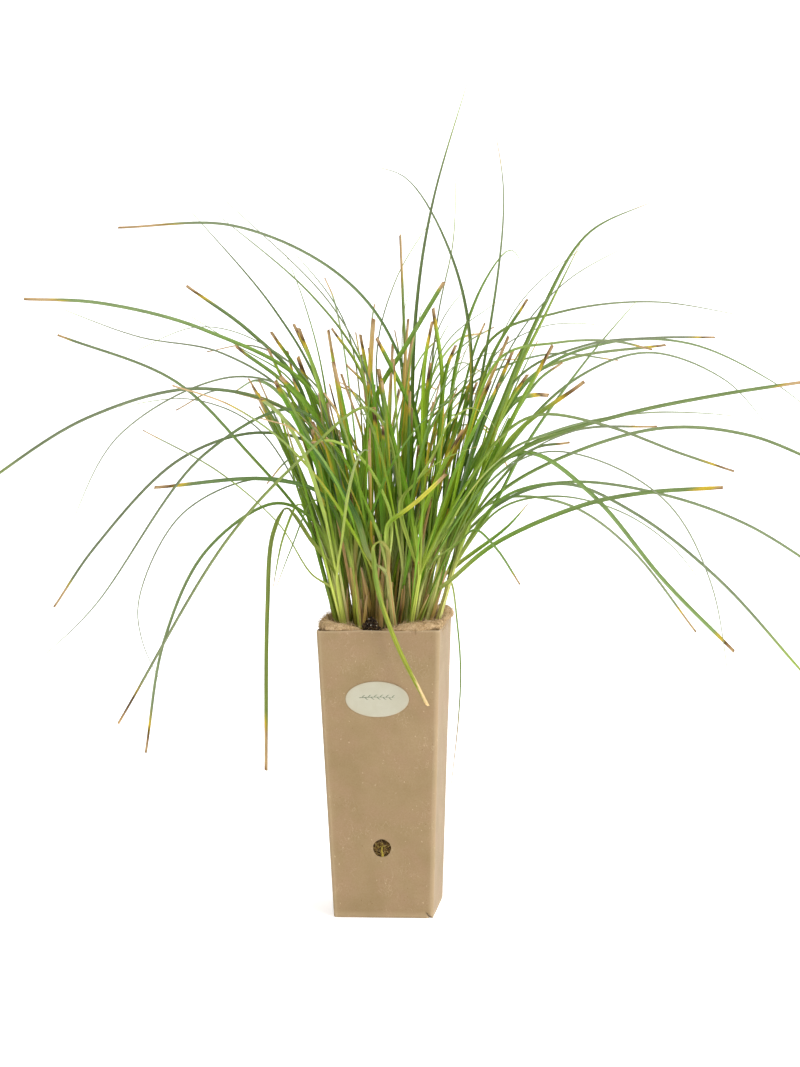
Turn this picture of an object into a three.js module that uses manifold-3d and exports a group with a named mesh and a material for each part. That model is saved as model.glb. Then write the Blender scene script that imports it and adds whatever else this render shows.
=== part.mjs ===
// A tufted sedge in a tall, tapered square pot of recycled card.
// Units are millimetres, +Z is up, the origin is the middle of the pot's flat foot
// and the pot's labelled face looks along -Y.
import * as THREE from 'three';
import { mergeVertices } from 'three/addons/utils/BufferGeometryUtils.js';
import Module from 'manifold-3d';

const wasm = await Module();
wasm.setup();

// ---------------------------------------------------------------- driving dimensions
const GAP = 0.35; // clearance between touching pieces

const POT = { height: 212, footHalf: 36.7, topHalf: 45, wall: 1.4, floor: 3, corner: 3.6 };
const DRAIN = { radius: 6.6, height: 52 };
const CORNER_SLIT = { width: 1, length: 6, height: 5 };
const LABEL = { halfWidth: 23, halfHeight: 13, thickness: 0.4, centreX: -1.4, centreZ: 162 };
const SOIL_TOP = 205;
const MAT = {
  innerU: 41.8, innerV: 37.5, power: 2.6, // the oval that it leaves round the crown
  rise: 5, sideRise: 1.2, sideAngle: 250, // it lies highest at the front left
  rimCover: 1.5, thinnest: 2.4, lip: 0.3, rough: 1.2, steps: 44,
};
const MAT_LUMP = { angle: 45, spread: 14, rise: 5.5, reach: 3.5 };
const MAT_NOTCH = { angle: 264, spread: 21, drop: 7.5 };

const CLUMP_TURN = 6.3; // the clump stands turned this many degrees in its pot
const CLUMP = { count: 34, spreadU: 39.5, spreadV: 32, spare: 3, jitter: 1.6 };
const NOTCH_SOIL = { left: -21, right: -4, back: -23 }; // bare compost at the front
const SHOOT = {
  foot: 187, ground: 212, top: 262, topSpread: 12, width: 5.4, depth: 4, taper: 0.62,
  lean: 14, leanBias: 3, leanJitter: 3,
};
const DRY_EVERY = 4; // every fourth shoot is dead
const FRONT = { shoot: 23, leanAcross: -5.5 }; // it stands alive in front and leans across
const LEAVES_PER_SHOOT = 6;
const CROWDING = 6; // how strongly a shoot's leaves turn further ones away
const FOOT_CHOICES = 5; // shoots that a leaf laid by hand may grow from
const LEAF = {
  keel: 0.28, keelDrop: 0.66, minThick: 0.72, minWidth: 0.95,
  root: 30, below: 14, leaveLow: 224, leaveHigh: 250, // where it leaves its shoot
  facingWidth: 1.9, // leaves laid by hand and at least this wide turn their flat to the front
  turnStep: 0.6, // by at most so much from one ring to the next
};
const BLADE = { footWidth: 0.8, fullAt: 0.2, pointFrom: 0.35, cutFrom: 0.5, cutNarrowing: 0.15 };
const ARCHING_SHARE = 0.42; // of the leaves that are grown by rule
const POINTED_SHARE = 0.6; // of those that arch over
const ARCHING = {
  bends: 5, segments: 7, fan: 100, length: [190, 340], lean: [9, 23], droop: [60, 125],
  width: [1.5, 3.1],
};
const ARCHING_TO_FRONT = { ...ARCHING, length: [190, 260], droop: [40, 65] };
const SHORT = {
  bends: 3, segments: 4, fan: 150, length: [90, 185], lean: [2, 11], droop: [6, 22],
  width: [2.4, 4.3],
};
const LEAN_KEPT = 0.8; // of its shoot's lean, on top of its own
const DROOP_POWER = 1.3; // a leaf bends more towards its tip
const TURN_STEP = 2.5; // degrees a leaf is turned by at a time until it is clear
const TURN_TRIES = 17;
const CLEARANCE = 0.4;
const POT_MARGIN = { beside: 4.5, above: 11 };
const PATH_STEPS = 120;
const GOLDEN_ANGLE = 137.508;
const SEED = 20711;

const COLOURS = {
  card: 0xb0966f, label: 0xd8d0ba, coir: 0xa88d66, compost: 0x2e2117,
  leaf: 0x5f8f2e, dry: 0xb39a68,
};

// Long and telling leaves, laid out by hand. Each row is a leaf width, how it ends, the
// place of its foot across and into the clump, the depth of its tip, and the points that
// it passes, across and up. P ends in a point, C is cut off, D is dead and cut off.
const LEAF_ROWS = [
  // bent over beside and in front of the pot
  [1.6, 'P', 44, -2, -12, [48, 241, 53, 209, 55, 175, 53, 140, 49, 107, 46, 85]],
  [3.4, 'C', 6, -34, -62, [2, 270, -3, 276, -7, 274, -7, 264, -5, 245, 1, 224, 12, 196, 30, 160]],
  [3.2, 'C', 6, -34, -66, [2, 283, 5, 291, 14, 298, 25, 307, 45, 326]],
  // from the tiller in front, across the heart
  [4, 'P', 2, -32, -56, [-11, 266, -19, 293, -33, 319, -48, 342, -62, 370, -77, 398]],
  [2.6, 'C', 6, -34, -50, [-2, 277, -12, 302, -22, 326, -31, 342, -40, 352]],
  [2.2, 'C', 6, -34, -58, [6, 292, -3, 318, -12, 333, -23, 344, -36, 350, -50, 349]],
  [2, 'P', 8, -34, -60, [12, 303, 25, 320, 37, 339, 48, 361, 64, 372, 78, 362, 84, 345]],
  [1.6, 'P', 10, -33, -56, [14, 303, 27, 322, 45, 336, 72, 346]],
  // in front of the heart
  [4.2, 'C', 18, -30, -38, [15, 319, 8, 347, 3, 369, -2, 400]],
  [3.4, 'C', 30, -24, -36, [28, 334, 22, 367, 15, 385, -3, 422]],
  // upright ones
  [2.8, 'P', 14, 0, -10, [25, 432, 38, 515, 67, 611]],
  [2.2, 'P', 38, 12, 30, [75, 400, 91, 520, 84, 580]],
  [2.8, 'P', 42, -10, -30, [65, 409, 51, 481, 20, 535, -7, 545]],
  [1.8, 'P', 24, 26, 60, [42, 434, 54, 490, 57, 548]],
  [1.5, 'P', -2, 32, 70, [-4, 398, 11, 461, 46, 517]],
  [2.4, 'C', 12, 18, 40, [17, 427, 15, 495]],
  [1.6, 'P', 14, 32, 60, [16, 430, 25, 466]],
  [3.6, 'C', -14, -28, -40, [-6, 376, 18, 418, 44, 461]],
  [3.4, 'P', 30, 14, 40, [55, 400, 77, 461, 96, 483, 106, 471]],
  [1.6, 'P', 20, 30, 90, [42, 423, 75, 466]],
  [1.8, 'P', 16, -28, -60, [42, 410, 86, 450]],
  [2.0, 'P', 20, 8, 30, [40, 410, 56, 438]],
  // to the right, from the highest to the lowest
  [3.6, 'P', 38, -14, -35, [88, 376, 116, 440, 149, 494, 199, 518]],
  [3.2, 'P', 42, 4, 10, [95, 385, 122, 440, 149, 493]],
  [1.5, 'P', 40, 22, 80, [85, 410, 110, 451, 178, 502]],
  [1.4, 'P', 42, -20, -70, [88, 405, 130, 459, 192, 494]],
  [2.4, 'P', 44, -4, -20, [81, 299, 104, 342, 148, 403, 191, 453]],
  [2.2, 'P', 36, 20, 60, [79, 415, 130, 436, 201, 443, 278, 430]],
  [1.4, 'P', 36, 28, 90, [80, 400, 116, 424, 150, 427, 181, 421]],
  [2.0, 'C', 34, -24, -60, [84, 405, 125, 417, 165, 418, 192, 412]],
  [1.9, 'C', 42, -12, -40, [95, 388, 146, 414, 194, 419, 238, 419]],
  [2.4, 'P', 40, 10, 30, [108, 388, 165, 414, 225, 413, 284, 386, 325, 355]],
  [2.4, 'C', 44, 16, 45, [105, 385, 138, 402, 211, 411]],
  [2.2, 'P', 42, -18, -55, [99, 352, 145, 394, 192, 409, 245, 389, 278, 352]],
  [3.0, 'C', 36, -26, -60, [72, 318, 105, 344, 175, 366, 241, 379, 302, 388]],
  [2.0, 'P', 38, 24, 70, [80, 325, 130, 349, 191, 360, 240, 359, 279, 354]],
  [2.0, 'C', 40, -2, -10, [84, 325, 142, 353, 202, 356]],
  [2.2, 'C', 22, -30, -75, [85, 350, 112, 366, 157, 359, 210, 339, 248, 326]],
  [2.6, 'C', 44, 8, 25, [81, 302, 130, 330, 205, 351, 269, 345, 330, 320]],
  [1.8, 'P', 24, -34, -80, [85, 325, 118, 340, 163, 330, 205, 300, 232, 246, 245, 168]],
  [3.2, 'C', 22, -26, -60, [72, 322, 104, 338, 148, 308, 200, 244, 249, 193]],
  [2.0, 'C', 38, 30, 60, [80, 296, 106, 300, 144, 290, 186, 257, 234, 194]],
  [1.8, 'P', 40, -10, -30, [85, 296, 125, 305, 171, 294, 207, 270, 231, 240]],
  [2.4, 'C', 40, 22, 70, [88, 297, 135, 309, 187, 286, 251, 234, 318, 158]],
  [2.2, 'C', 42, -6, -25, [86, 303, 135, 315, 200, 306, 263, 283, 330, 240]],
  [3.4, 'C', 42, -16, -45, [50, 247, 82, 273, 144, 300, 187, 309, 244, 313]],
  [3.0, 'P', 42, 14, 30, [54, 252, 91, 279, 110, 299]],
  [1.8, 'C', 34, -30, -60, [55, 275, 66, 284, 80, 272, 97, 246]],
  // to the left, from the highest to the lowest
  [2.2, 'C', 33, 8, 35, [12, 411, -28, 466, -104, 503, -189, 503]],
  [2.0, 'P', -16, 12, 55, [-46, 383, -80, 443, -150, 526]],
  [2.0, 'P', 8, 20, 60, [-12, 395, -50, 450, -134, 523]],
  [1.7, 'P', 10, -5, -40, [-9, 391, -36, 447, -117, 529]],
  [1.5, 'P', -5, 30, 90, [-25, 424, -76, 497]],
  [1.8, 'P', -24, 25, 80, [-44, 393, -57, 445, -73, 487]],
  [2.8, 'C', -16, -8, -30, [-50, 382, -125, 428, -200, 449, -255, 453]],
  [2.8, 'C', -28, 8, 20, [-60, 385, -95, 425, -142, 460]],
  [1.8, 'P', -27, 18, 45, [-64, 385, -105, 414, -147, 441]],
  [3.0, 'C', -25, -2, 5, [-60, 375, -106, 416]],
  [1.8, 'P', -20, 28, 70, [-66, 372, -120, 409, -185, 422, -258, 449]],
  [2.2, 'C', -36, 2, 0, [-58, 289, -97, 337, -150, 391, -235, 426]],
  [1.5, 'P', -18, -20, -55, [-47, 383, -88, 421, -130, 432, -184, 411]],
  [2.4, 'C', -22, -14, -45, [-58, 362, -127, 387, -210, 368, -300, 312]],
  [1.6, 'P', -14, 14, 60, [-55, 371, -108, 392, -198, 349, -247, 262]],
  [1.8, 'C', -42, -6, -15, [-53, 250, -76, 287, -118, 325, -173, 357]],
  [3.0, 'C', -20, -24, -50, [-42, 308, -80, 322, -163, 318]],
  [2.2, 'P', -14, -26, -70, [-32, 340, -62, 372, -127, 341, -208, 233, -251, 193]],
  [2.2, 'C', -22, 22, 40, [-47, 337, -90, 351, -150, 332, -215, 267, -247, 222]],
  [1.6, 'P', -30, 16, 30, [-62, 312, -97, 317, -150, 291, -182, 230, -181, 198, -160, 150]],
  [2.2, 'C', 12, -30, -75, [3, 352, -14, 373, -60, 339, -115, 282, -194, 155]],
  [2.3, 'C', -30, -16, -30, [-52, 291, -78, 303, -128, 270, -160, 205, -175, 123]],
  [3.2, 'C', -38, -18, -25, [-52, 275, -70, 299, -80, 281, -85, 225, -88, 108]],
  [2.2, 'P', -34, 24, 28, [-50, 275, -62, 298, -74, 275, -84, 230]],
  [1.5, 'P', -28, -28, -45, [-42, 300, -50, 306, -66, 273, -81, 235]],
  [1.8, 'P', -40, 8, 20, [-56, 290, -66, 320, -79, 370]],
  [1.5, 'P', -38, 14, 50, [-62, 305, -97, 356, -145, 375, -206, 369]],
  [1.8, 'C', -18, 4, 15, [-53, 357, -80, 373, -116, 384]],
  // the cut leaves of the heart, from left to right
  [3.0, 'C', -30, 30, 45, [-48, 308, -56, 327]],
  [3.0, 'C', -22, 0, 5, [-53, 381, -80, 426]],
  [4.2, 'C', -24, -24, -45, [-46, 363, -72, 396]],
  [3.0, 'C', -17, 10, 20, [-47, 391, -64, 431]],
  [3.2, 'C', -14, -12, -15, [-45, 386, -59, 429]],
  [3.0, 'C', -20, 20, 30, [-30, 366, -39, 426]],
  [2.4, 'C', 0, 16, 30, [-14, 390, -37, 427]],
  [2.2, 'C', 3, -16, -30, [-10, 384, -25, 403]],
  [3.0, 'C', -2, 0, 5, [-9, 385, -15, 423]],
  [4.0, 'D', -3, -10, -14, [-8, 400, -5, 435]],
  [1.8, 'C', 14, 26, 40, [14, 400, 10, 425]],
  [2.6, 'D', 12, 5, 8, [17, 400, 20, 434]],
  [3.6, 'D', 16, -6, -8, [21, 396, 25, 423]],
  [3.0, 'C', 26, -22, -30, [31, 400, 37, 433]],
  [3.0, 'C', 28, 20, 30, [33, 380, 37, 401]],
  [3.4, 'C', 36, -6, -8, [44, 388, 38, 442]],
  [3.0, 'C', 34, -10, -14, [47, 397, 54, 415]],
  [2.0, 'C', 40, 26, 50, [69, 411, 77, 429]],
  [3.0, 'D', 34, 0, 0, [73, 377, 93, 420]],
  [2.6, 'C', 40, 2, 10, [78, 400, 107, 447]],
  [3.2, 'C', 42, 8, 15, [92, 370, 107, 392]],
  [1.8, 'C', 44, 24, 55, [105, 395, 116, 415]],
  [3.4, 'C', 42, -8, -20, [90, 350, 126, 415]],
  [2.4, 'C', 42, 12, 25, [112, 384, 133, 400]],
  [4.0, 'C', 40, 18, 40, [105, 369, 125, 374, 140, 373]],
  [3.6, 'C', 44, -14, -40, [92, 347, 145, 389]],
  [2.2, 'C', 44, -22, -60, [104, 339, 133, 347]],
];

// ---------------------------------------------------------------- small helpers
const radians = THREE.MathUtils.degToRad;

function seededRandom(seed) {
  let state = seed;
  return () => {
    state = (state * 16807) % 2147483647;
    return state / 2147483647;
  };
}

/** A point given across the clump, into it and up, in the pot's own axes. */
function clumpPoint(across, into, up) {
  const turn = radians(CLUMP_TURN);
  return new THREE.Vector3(
    across * Math.cos(turn) - into * Math.sin(turn),
    across * Math.sin(turn) + into * Math.cos(turn),
    up,
  );
}

// ---------------------------------------------------------------- closed meshes
function signedVolume(points, faces) {
  const normal = new THREE.Vector3();
  let sum = 0;
  for (const [a, b, c] of faces) {
    sum += points[a].dot(normal.crossVectors(points[b], points[c]));
  }
  return sum;
}

/** A solid from points and triangles, turned so that its faces point out. */
function solidFromFaces(points, faces) {
  const outward = signedVolume(points, faces) > 0;
  const triVerts = new Uint32Array(faces.length * 3);
  faces.forEach(([a, b, c], k) => triVerts.set(outward ? [a, b, c] : [a, c, b], 3 * k));
  const vertProperties = new Float32Array(points.length * 3);
  points.forEach((point, k) => point.toArray(vertProperties, 3 * k));
  return new wasm.Manifold(new wasm.Mesh({ numProp: 3, vertProperties, triVerts }));
}

/** A solid from one of three.js's own closed geometries. */
function solidFromGeometry(geometry) {
  const bare = geometry.clone();
  bare.deleteAttribute('normal');
  bare.deleteAttribute('uv');
  const merged = mergeVertices(bare, 1e-4);
  const place = merged.getAttribute('position');
  const points = [];
  for (let k = 0; k < place.count; k += 1) {
    points.push(new THREE.Vector3().fromBufferAttribute(place, k));
  }
  const faces = [];
  for (let k = 0; k < merged.index.count; k += 3) {
    faces.push([0, 1, 2].map((step) => merged.index.getX(k + step)));
  }
  return solidFromFaces(points, faces.filter(([a, b, c]) => a !== b && b !== c && a !== c));
}

function sideFaces(ringA, ringB, size) {
  const faces = [];
  for (let k = 0; k < size; k += 1) {
    const next = (k + 1) % size;
    faces.push([ringA + k, ringA + next, ringB + k]);
    faces.push([ringA + next, ringB + next, ringB + k]);
  }
  return faces;
}

/** A closed solid through rings of equal size, capped at both ends. */
function loft(rings) {
  const size = rings[0].length;
  const points = rings.flat();
  const faces = [];
  for (let r = 0; r + 1 < rings.length; r += 1) {
    faces.push(...sideFaces(r * size, (r + 1) * size, size));
  }
  const last = (rings.length - 1) * size;
  for (let k = 1; k + 1 < size; k += 1) {
    faces.push([0, k + 1, k]);
    faces.push([last, last + k, last + k + 1]);
  }
  return solidFromFaces(points, faces);
}

/** A closed solid through sections that run round and meet the first one again. */
function loopLoft(sections) {
  const size = sections[0].length;
  const points = sections.flat();
  const faces = sections.flatMap((section, r) => (
    sideFaces(r * size, ((r + 1) % sections.length) * size, size)
  ));
  return solidFromFaces(points, faces);
}

function meshOf(solid, name, colour, roughness) {
  const { vertProperties, triVerts, numProp } = solid.getMesh();
  const geometry = new THREE.BufferGeometry();
  const places = new THREE.InterleavedBuffer(vertProperties, numProp);
  geometry.setAttribute('position', new THREE.InterleavedBufferAttribute(places, 3, 0));
  geometry.setIndex(new THREE.BufferAttribute(triVerts, 1));
  geometry.computeVertexNormals();
  const material = new THREE.MeshStandardMaterial({ color: colour, roughness, metalness: 0 });
  const mesh = new THREE.Mesh(geometry, material);
  mesh.name = name;
  return mesh;
}

// ---------------------------------------------------------------- pot
/** Outline of a square with rounded corners at one height. */
function roundedSquare(half, corner, z, cornerSteps = 3) {
  const outline = [];
  for (let quarter = 0; quarter < 4; quarter += 1) {
    const middle = radians(45 + 90 * quarter);
    const cx = Math.SQRT2 * (half - corner) * Math.cos(middle);
    const cy = Math.SQRT2 * (half - corner) * Math.sin(middle);
    for (let k = 0; k <= cornerSteps; k += 1) {
      const a = radians(90 * quarter + (90 * k) / cornerSteps);
      outline.push(new THREE.Vector3(cx + corner * Math.cos(a), cy + corner * Math.sin(a), z));
    }
  }
  return outline;
}

function potHalfAt(z) {
  return POT.footHalf + ((POT.topHalf - POT.footHalf) * z) / POT.height;
}

function taperedBlock(inset, bottom, top) {
  const corner = Math.max(POT.corner - inset, 1);
  return loft([bottom, top].map((z) => roundedSquare(potHalfAt(z) - inset, corner, z)));
}

function buildPot() {
  const over = 1;
  let shell = taperedBlock(0, 0, POT.height)
    .subtract(taperedBlock(POT.wall, POT.floor, POT.height + over));
  const drill = new THREE.CylinderGeometry(DRAIN.radius, DRAIN.radius, 3 * POT.topHalf, 28);
  drill.translate(0, 0, -DRAIN.height).rotateX(Math.PI);
  shell = shell.subtract(solidFromGeometry(drill));
  for (let quarter = 0; quarter < 4; quarter += 1) {
    const slit = new THREE.BoxGeometry(CORNER_SLIT.length, CORNER_SLIT.width,
      CORNER_SLIT.height + over);
    slit.translate(Math.SQRT2 * (POT.footHalf - POT.corner) + POT.corner, 0,
      (CORNER_SLIT.height - over) / 2);
    slit.rotateZ(radians(45 + 90 * quarter));
    shell = shell.subtract(solidFromGeometry(slit));
  }
  return meshOf(shell, 'cardboard_pot', COLOURS.card, 0.9);
}

function buildLabel() {
  const oval = new THREE.Shape();
  oval.absellipse(0, 0, LABEL.halfWidth, LABEL.halfHeight, 0, 2 * Math.PI);
  const sheet = new THREE.ExtrudeGeometry(oval, {
    depth: LABEL.thickness, bevelEnabled: false, curveSegments: 12,
  });
  const faceLean = Math.atan((POT.topHalf - POT.footHalf) / POT.height);
  sheet.rotateX(Math.PI / 2 + faceLean);
  sheet.translate(LABEL.centreX, -potHalfAt(LABEL.centreZ) - GAP, LABEL.centreZ);
  return meshOf(solidFromGeometry(sheet), 'label', COLOURS.label, 0.6);
}

// ---------------------------------------------------------------- coir mat
/** 1 at an angle, falling smoothly to 0 a few spreads away. */
function bump(angle, centre, spread) {
  const away = ((angle - centre + 540) % 360) - 180;
  return Math.exp(-((away / spread) ** 2));
}

/** Distance from the pot's axis to its wall in one direction. */
function squareReach(half, corner, angle) {
  const c = Math.abs(Math.cos(angle));
  const s = Math.abs(Math.sin(angle));
  const straight = half / Math.max(c, s);
  const centre = half - corner;
  const along = centre * (c + s);
  const rounded = along + Math.sqrt(Math.max(0, along ** 2 - 2 * centre ** 2 + corner ** 2));
  return Math.min(straight, rounded);
}

function buildMat() {
  const random = seededRandom(SEED + 1);
  const floor = SOIL_TOP + GAP;
  const sections = [];
  for (let k = 0; k < MAT.steps; k += 1) {
    const degrees = (360 * k) / MAT.steps;
    const angle = radians(degrees);
    const inClump = angle - radians(CLUMP_TURN);
    const lump = bump(degrees, MAT_LUMP.angle, MAT_LUMP.spread);
    const notch = bump(degrees, MAT_NOTCH.angle, MAT_NOTCH.spread);
    const inner = ((Math.abs(Math.cos(inClump)) / MAT.innerU) ** MAT.power
      + (Math.abs(Math.sin(inClump)) / MAT.innerV) ** MAT.power) ** (-1 / MAT.power);
    const wall = squareReach(potHalfAt(floor) - POT.wall - GAP, POT.corner - POT.wall, angle);
    const rim = squareReach(POT.topHalf, POT.corner, angle);
    const side = MAT.sideRise * Math.cos(radians(degrees - MAT.sideAngle));
    const rise = MAT.rise + side + MAT_LUMP.rise * lump - MAT_NOTCH.drop * notch
      + MAT.rough * (random() - 0.5);
    const cover = (MAT.rimCover + MAT_LUMP.reach * lump) * (1 - notch)
      - (POT.wall + 2 * GAP) * notch - (MAT.rough / 2) * random();
    const over = POT.height + GAP;
    const outward = new THREE.Vector3(Math.cos(angle), Math.sin(angle), 0);
    const place = (reach, z) => outward.clone().multiplyScalar(reach).setZ(z);
    const edge = Math.max(rim - POT.wall + cover, wall - MAT.rough);
    const middle = (inner + rim) / 2;
    const crest = Math.max(POT.height + rise, SOIL_TOP + MAT.thinnest);
    const { lip } = MAT;
    sections.push([
      place(inner, floor),
      place(wall, floor),
      place(wall, Math.min(over, crest - 3 * lip)),
      place(edge, Math.min(over + lip, crest - 2 * lip)),
      place(edge + lip, Math.min(over + rise / 2, crest - lip)),
      place((edge + middle) / 2, crest),
      place((inner + middle) / 2, crest - lip - random()),
      place(inner + lip, (floor + crest) / 2),
    ]);
  }
  return meshOf(loopLoft(sections), 'coir_mat', COLOURS.coir, 0.95);
}

// ---------------------------------------------------------------- shoots
function placeShoots() {
  const random = seededRandom(SEED);
  const shoots = [];
  for (let k = 0; shoots.length < CLUMP.count; k += 1) {
    const reach = Math.sqrt((k + 0.5) / (CLUMP.count + CLUMP.spare));
    const angle = radians(k * GOLDEN_ANGLE);
    const across = CLUMP.spreadU * reach * Math.cos(angle) + CLUMP.jitter * (random() - 0.5);
    const into = CLUMP.spreadV * reach * Math.sin(angle) + CLUMP.jitter * (random() - 0.5);
    const lean = SHOOT.lean * reach;
    const inFront = shoots.length === FRONT.shoot;
    const ownLeanAcross = lean * Math.cos(angle) + SHOOT.leanBias
      + SHOOT.leanJitter * (random() - 0.5);
    const leanAcross = inFront ? FRONT.leanAcross : ownLeanAcross;
    const leanInto = lean * Math.sin(angle) + SHOOT.leanJitter * (random() - 0.5);
    const top = SHOOT.top + SHOOT.topSpread * random();
    const twist = Math.PI * random();
    const bare = across > NOTCH_SOIL.left && across < NOTCH_SOIL.right
      && into < NOTCH_SOIL.back;
    if (!bare) {
      shoots.push({
        across, into, top, twist, reach, angle, lean,
        slopeAcross: Math.tan(radians(leanAcross)),
        slopeInto: Math.tan(radians(leanInto)),
        dry: shoots.length % DRY_EVERY === DRY_EVERY - 1 && !inFront,
        leaves: 0,
      });
    }
  }
  return shoots;
}

function shootAxis(shoot, z) {
  const climb = z - SHOOT.ground;
  return clumpPoint(shoot.across + climb * shoot.slopeAcross,
    shoot.into + climb * shoot.slopeInto, z);
}

/** The flat, six-sided base of sheaths, or the hole that it stands in if it is grown. */
function shootBase(shoot, grow, top) {
  const rings = [SHOOT.foot - grow, SHOOT.ground, (SHOOT.ground + top) / 2, top].map((z) => {
    const height = Math.max(0, (z - SHOOT.ground) / (top - SHOOT.ground));
    const size = 1 - (1 - SHOOT.taper) * height;
    const centre = shootAxis(shoot, z);
    return Array.from({ length: 6 }, (_, k) => {
      const a = radians(60 * k);
      const x = (SHOOT.width / 2) * size * Math.cos(a) + grow * Math.cos(a);
      const y = (SHOOT.depth / 2) * size * Math.sin(a) * 1.1 + grow * Math.sin(a) * 1.1;
      return new THREE.Vector3(
        centre.x + x * Math.cos(shoot.twist) - y * Math.sin(shoot.twist),
        centre.y + x * Math.sin(shoot.twist) + y * Math.cos(shoot.twist),
        z,
      );
    });
  });
  return loft(rings);
}

// ---------------------------------------------------------------- leaf paths
/** Evenly spaced points along the smooth curve through a leaf's points, past its root. */
function leafPath(points, segments) {
  const curve = new THREE.CatmullRomCurve3(points, false, 'centripetal');
  const start = 1 / (points.length - 1);
  const fine = [];
  for (let k = 0; k <= PATH_STEPS; k += 1) {
    fine.push(curve.getPoint(start + ((1 - start) * k) / PATH_STEPS));
  }
  const lengths = [0];
  for (let k = 1; k < fine.length; k += 1) {
    lengths.push(lengths[k - 1] + fine[k].distanceTo(fine[k - 1]));
  }
  const path = [];
  let k = 0;
  for (let s = 0; s <= segments; s += 1) {
    const want = (lengths[PATH_STEPS] * s) / segments;
    while (k < PATH_STEPS - 1 && lengths[k + 1] < want) k += 1;
    const part = (want - lengths[k]) / (lengths[k + 1] - lengths[k]);
    path.push(fine[k].clone().lerp(fine[k + 1], part));
  }
  return path;
}

/** Shortest distance between segments ab and cd. */
function segmentDistance(a, b, c, d) {
  const { clamp } = THREE.MathUtils;
  const u = b.clone().sub(a);
  const v = d.clone().sub(c);
  const w = a.clone().sub(c);
  const uu = u.lengthSq();
  const vv = v.lengthSq();
  const uv = u.dot(v);
  const uw = u.dot(w);
  const vw = v.dot(w);
  const spread = uu * vv - uv * uv;
  const first = spread > 1e-9 ? clamp((uv * vw - vv * uw) / spread, 0, 1) : 0;
  const t = clamp((uv * first + vw) / vv, 0, 1);
  const s = clamp((uv * t - uw) / uu, 0, 1);
  return w.addScaledVector(u, s).addScaledVector(v, -t).length();
}

function pathBox(path, margin) {
  return new THREE.Box3().setFromPoints(path).expandByScalar(margin);
}

/** Whether a path keeps its distance from every other shoot's stem and leaves. */
function isClear(path, width, shoot, taken) {
  const box = pathBox(path, width / 2 + CLEARANCE);
  for (const other of taken) {
    if (other.shoot === shoot || !other.box.intersectsBox(box)) continue;
    const need = (width + other.width) / 2 + CLEARANCE;
    for (let k = 1; k < path.length; k += 1) {
      for (let m = 1; m < other.path.length; m += 1) {
        if (segmentDistance(path[k - 1], path[k], other.path[m - 1], other.path[m]) < need) {
          return false;
        }
      }
    }
  }
  return true;
}

/** Whether a path keeps outside the pot and above the mat. */
function missesPot(path) {
  return path.every((point) => {
    const reach = Math.max(Math.abs(point.x), Math.abs(point.y));
    return reach > potHalfAt(point.z) + POT_MARGIN.beside
      || point.z > POT.height + POT_MARGIN.above;
  });
}

/** Turns a leaf about the upright through its root until it is clear, or gives none. */
function bendClear(points, segments, width, shoot, taken) {
  const pivot = points[1];
  const upright = new THREE.Vector3(0, 0, 1);
  for (let tries = 0; tries < TURN_TRIES; tries += 1) {
    const steps = tries % 2 === 0 ? tries / 2 : -(tries + 1) / 2;
    const turned = points.map((point, k) => (k < 2 ? point : point.clone().sub(pivot)
      .applyAxisAngle(upright, radians(TURN_STEP * steps)).add(pivot)));
    const path = leafPath(turned, segments);
    if (missesPot(path) && isClear(path, width, shoot, taken)) {
      return path;
    }
  }
  return null;
}

// ---------------------------------------------------------------- leaves
function leafRoot(shoot, leave) {
  return [shootAxis(shoot, leave - LEAF.root), shootAxis(shoot, leave)];
}

/** A leaf laid by hand, once for each shoot that it may grow from, the nearest first. */
function rowLeaves(row, shoots) {
  const [width, end, footAcross, footInto, tipInto, line] = row;
  const cost = (shoot) => (shoot.across - footAcross) ** 2 + (shoot.into - footInto) ** 2
    + CROWDING * shoot.leaves ** 2;
  const near = shoots.filter((shoot) => shoot.dry === (end === 'D'))
    .sort((one, other) => cost(one) - cost(other)).slice(0, FOOT_CHOICES);
  const count = line.length / 2;
  const passes = Array.from({ length: count }, (_, k) => clumpPoint(line[2 * k],
    footInto + ((tipInto - footInto) * (k + 1)) / count, line[2 * k + 1]));
  const leave = THREE.MathUtils.clamp(passes[0].z - LEAF.below, LEAF.leaveLow, LEAF.leaveHigh);
  const segments = count < 3 ? 4 : 4 + count;
  return near.map((shoot) => {
    const points = [...leafRoot(shoot, leave), ...passes];
    return { shoot, width, end, points, segments, facing: width >= LEAF.facingWidth };
  });
}

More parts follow.
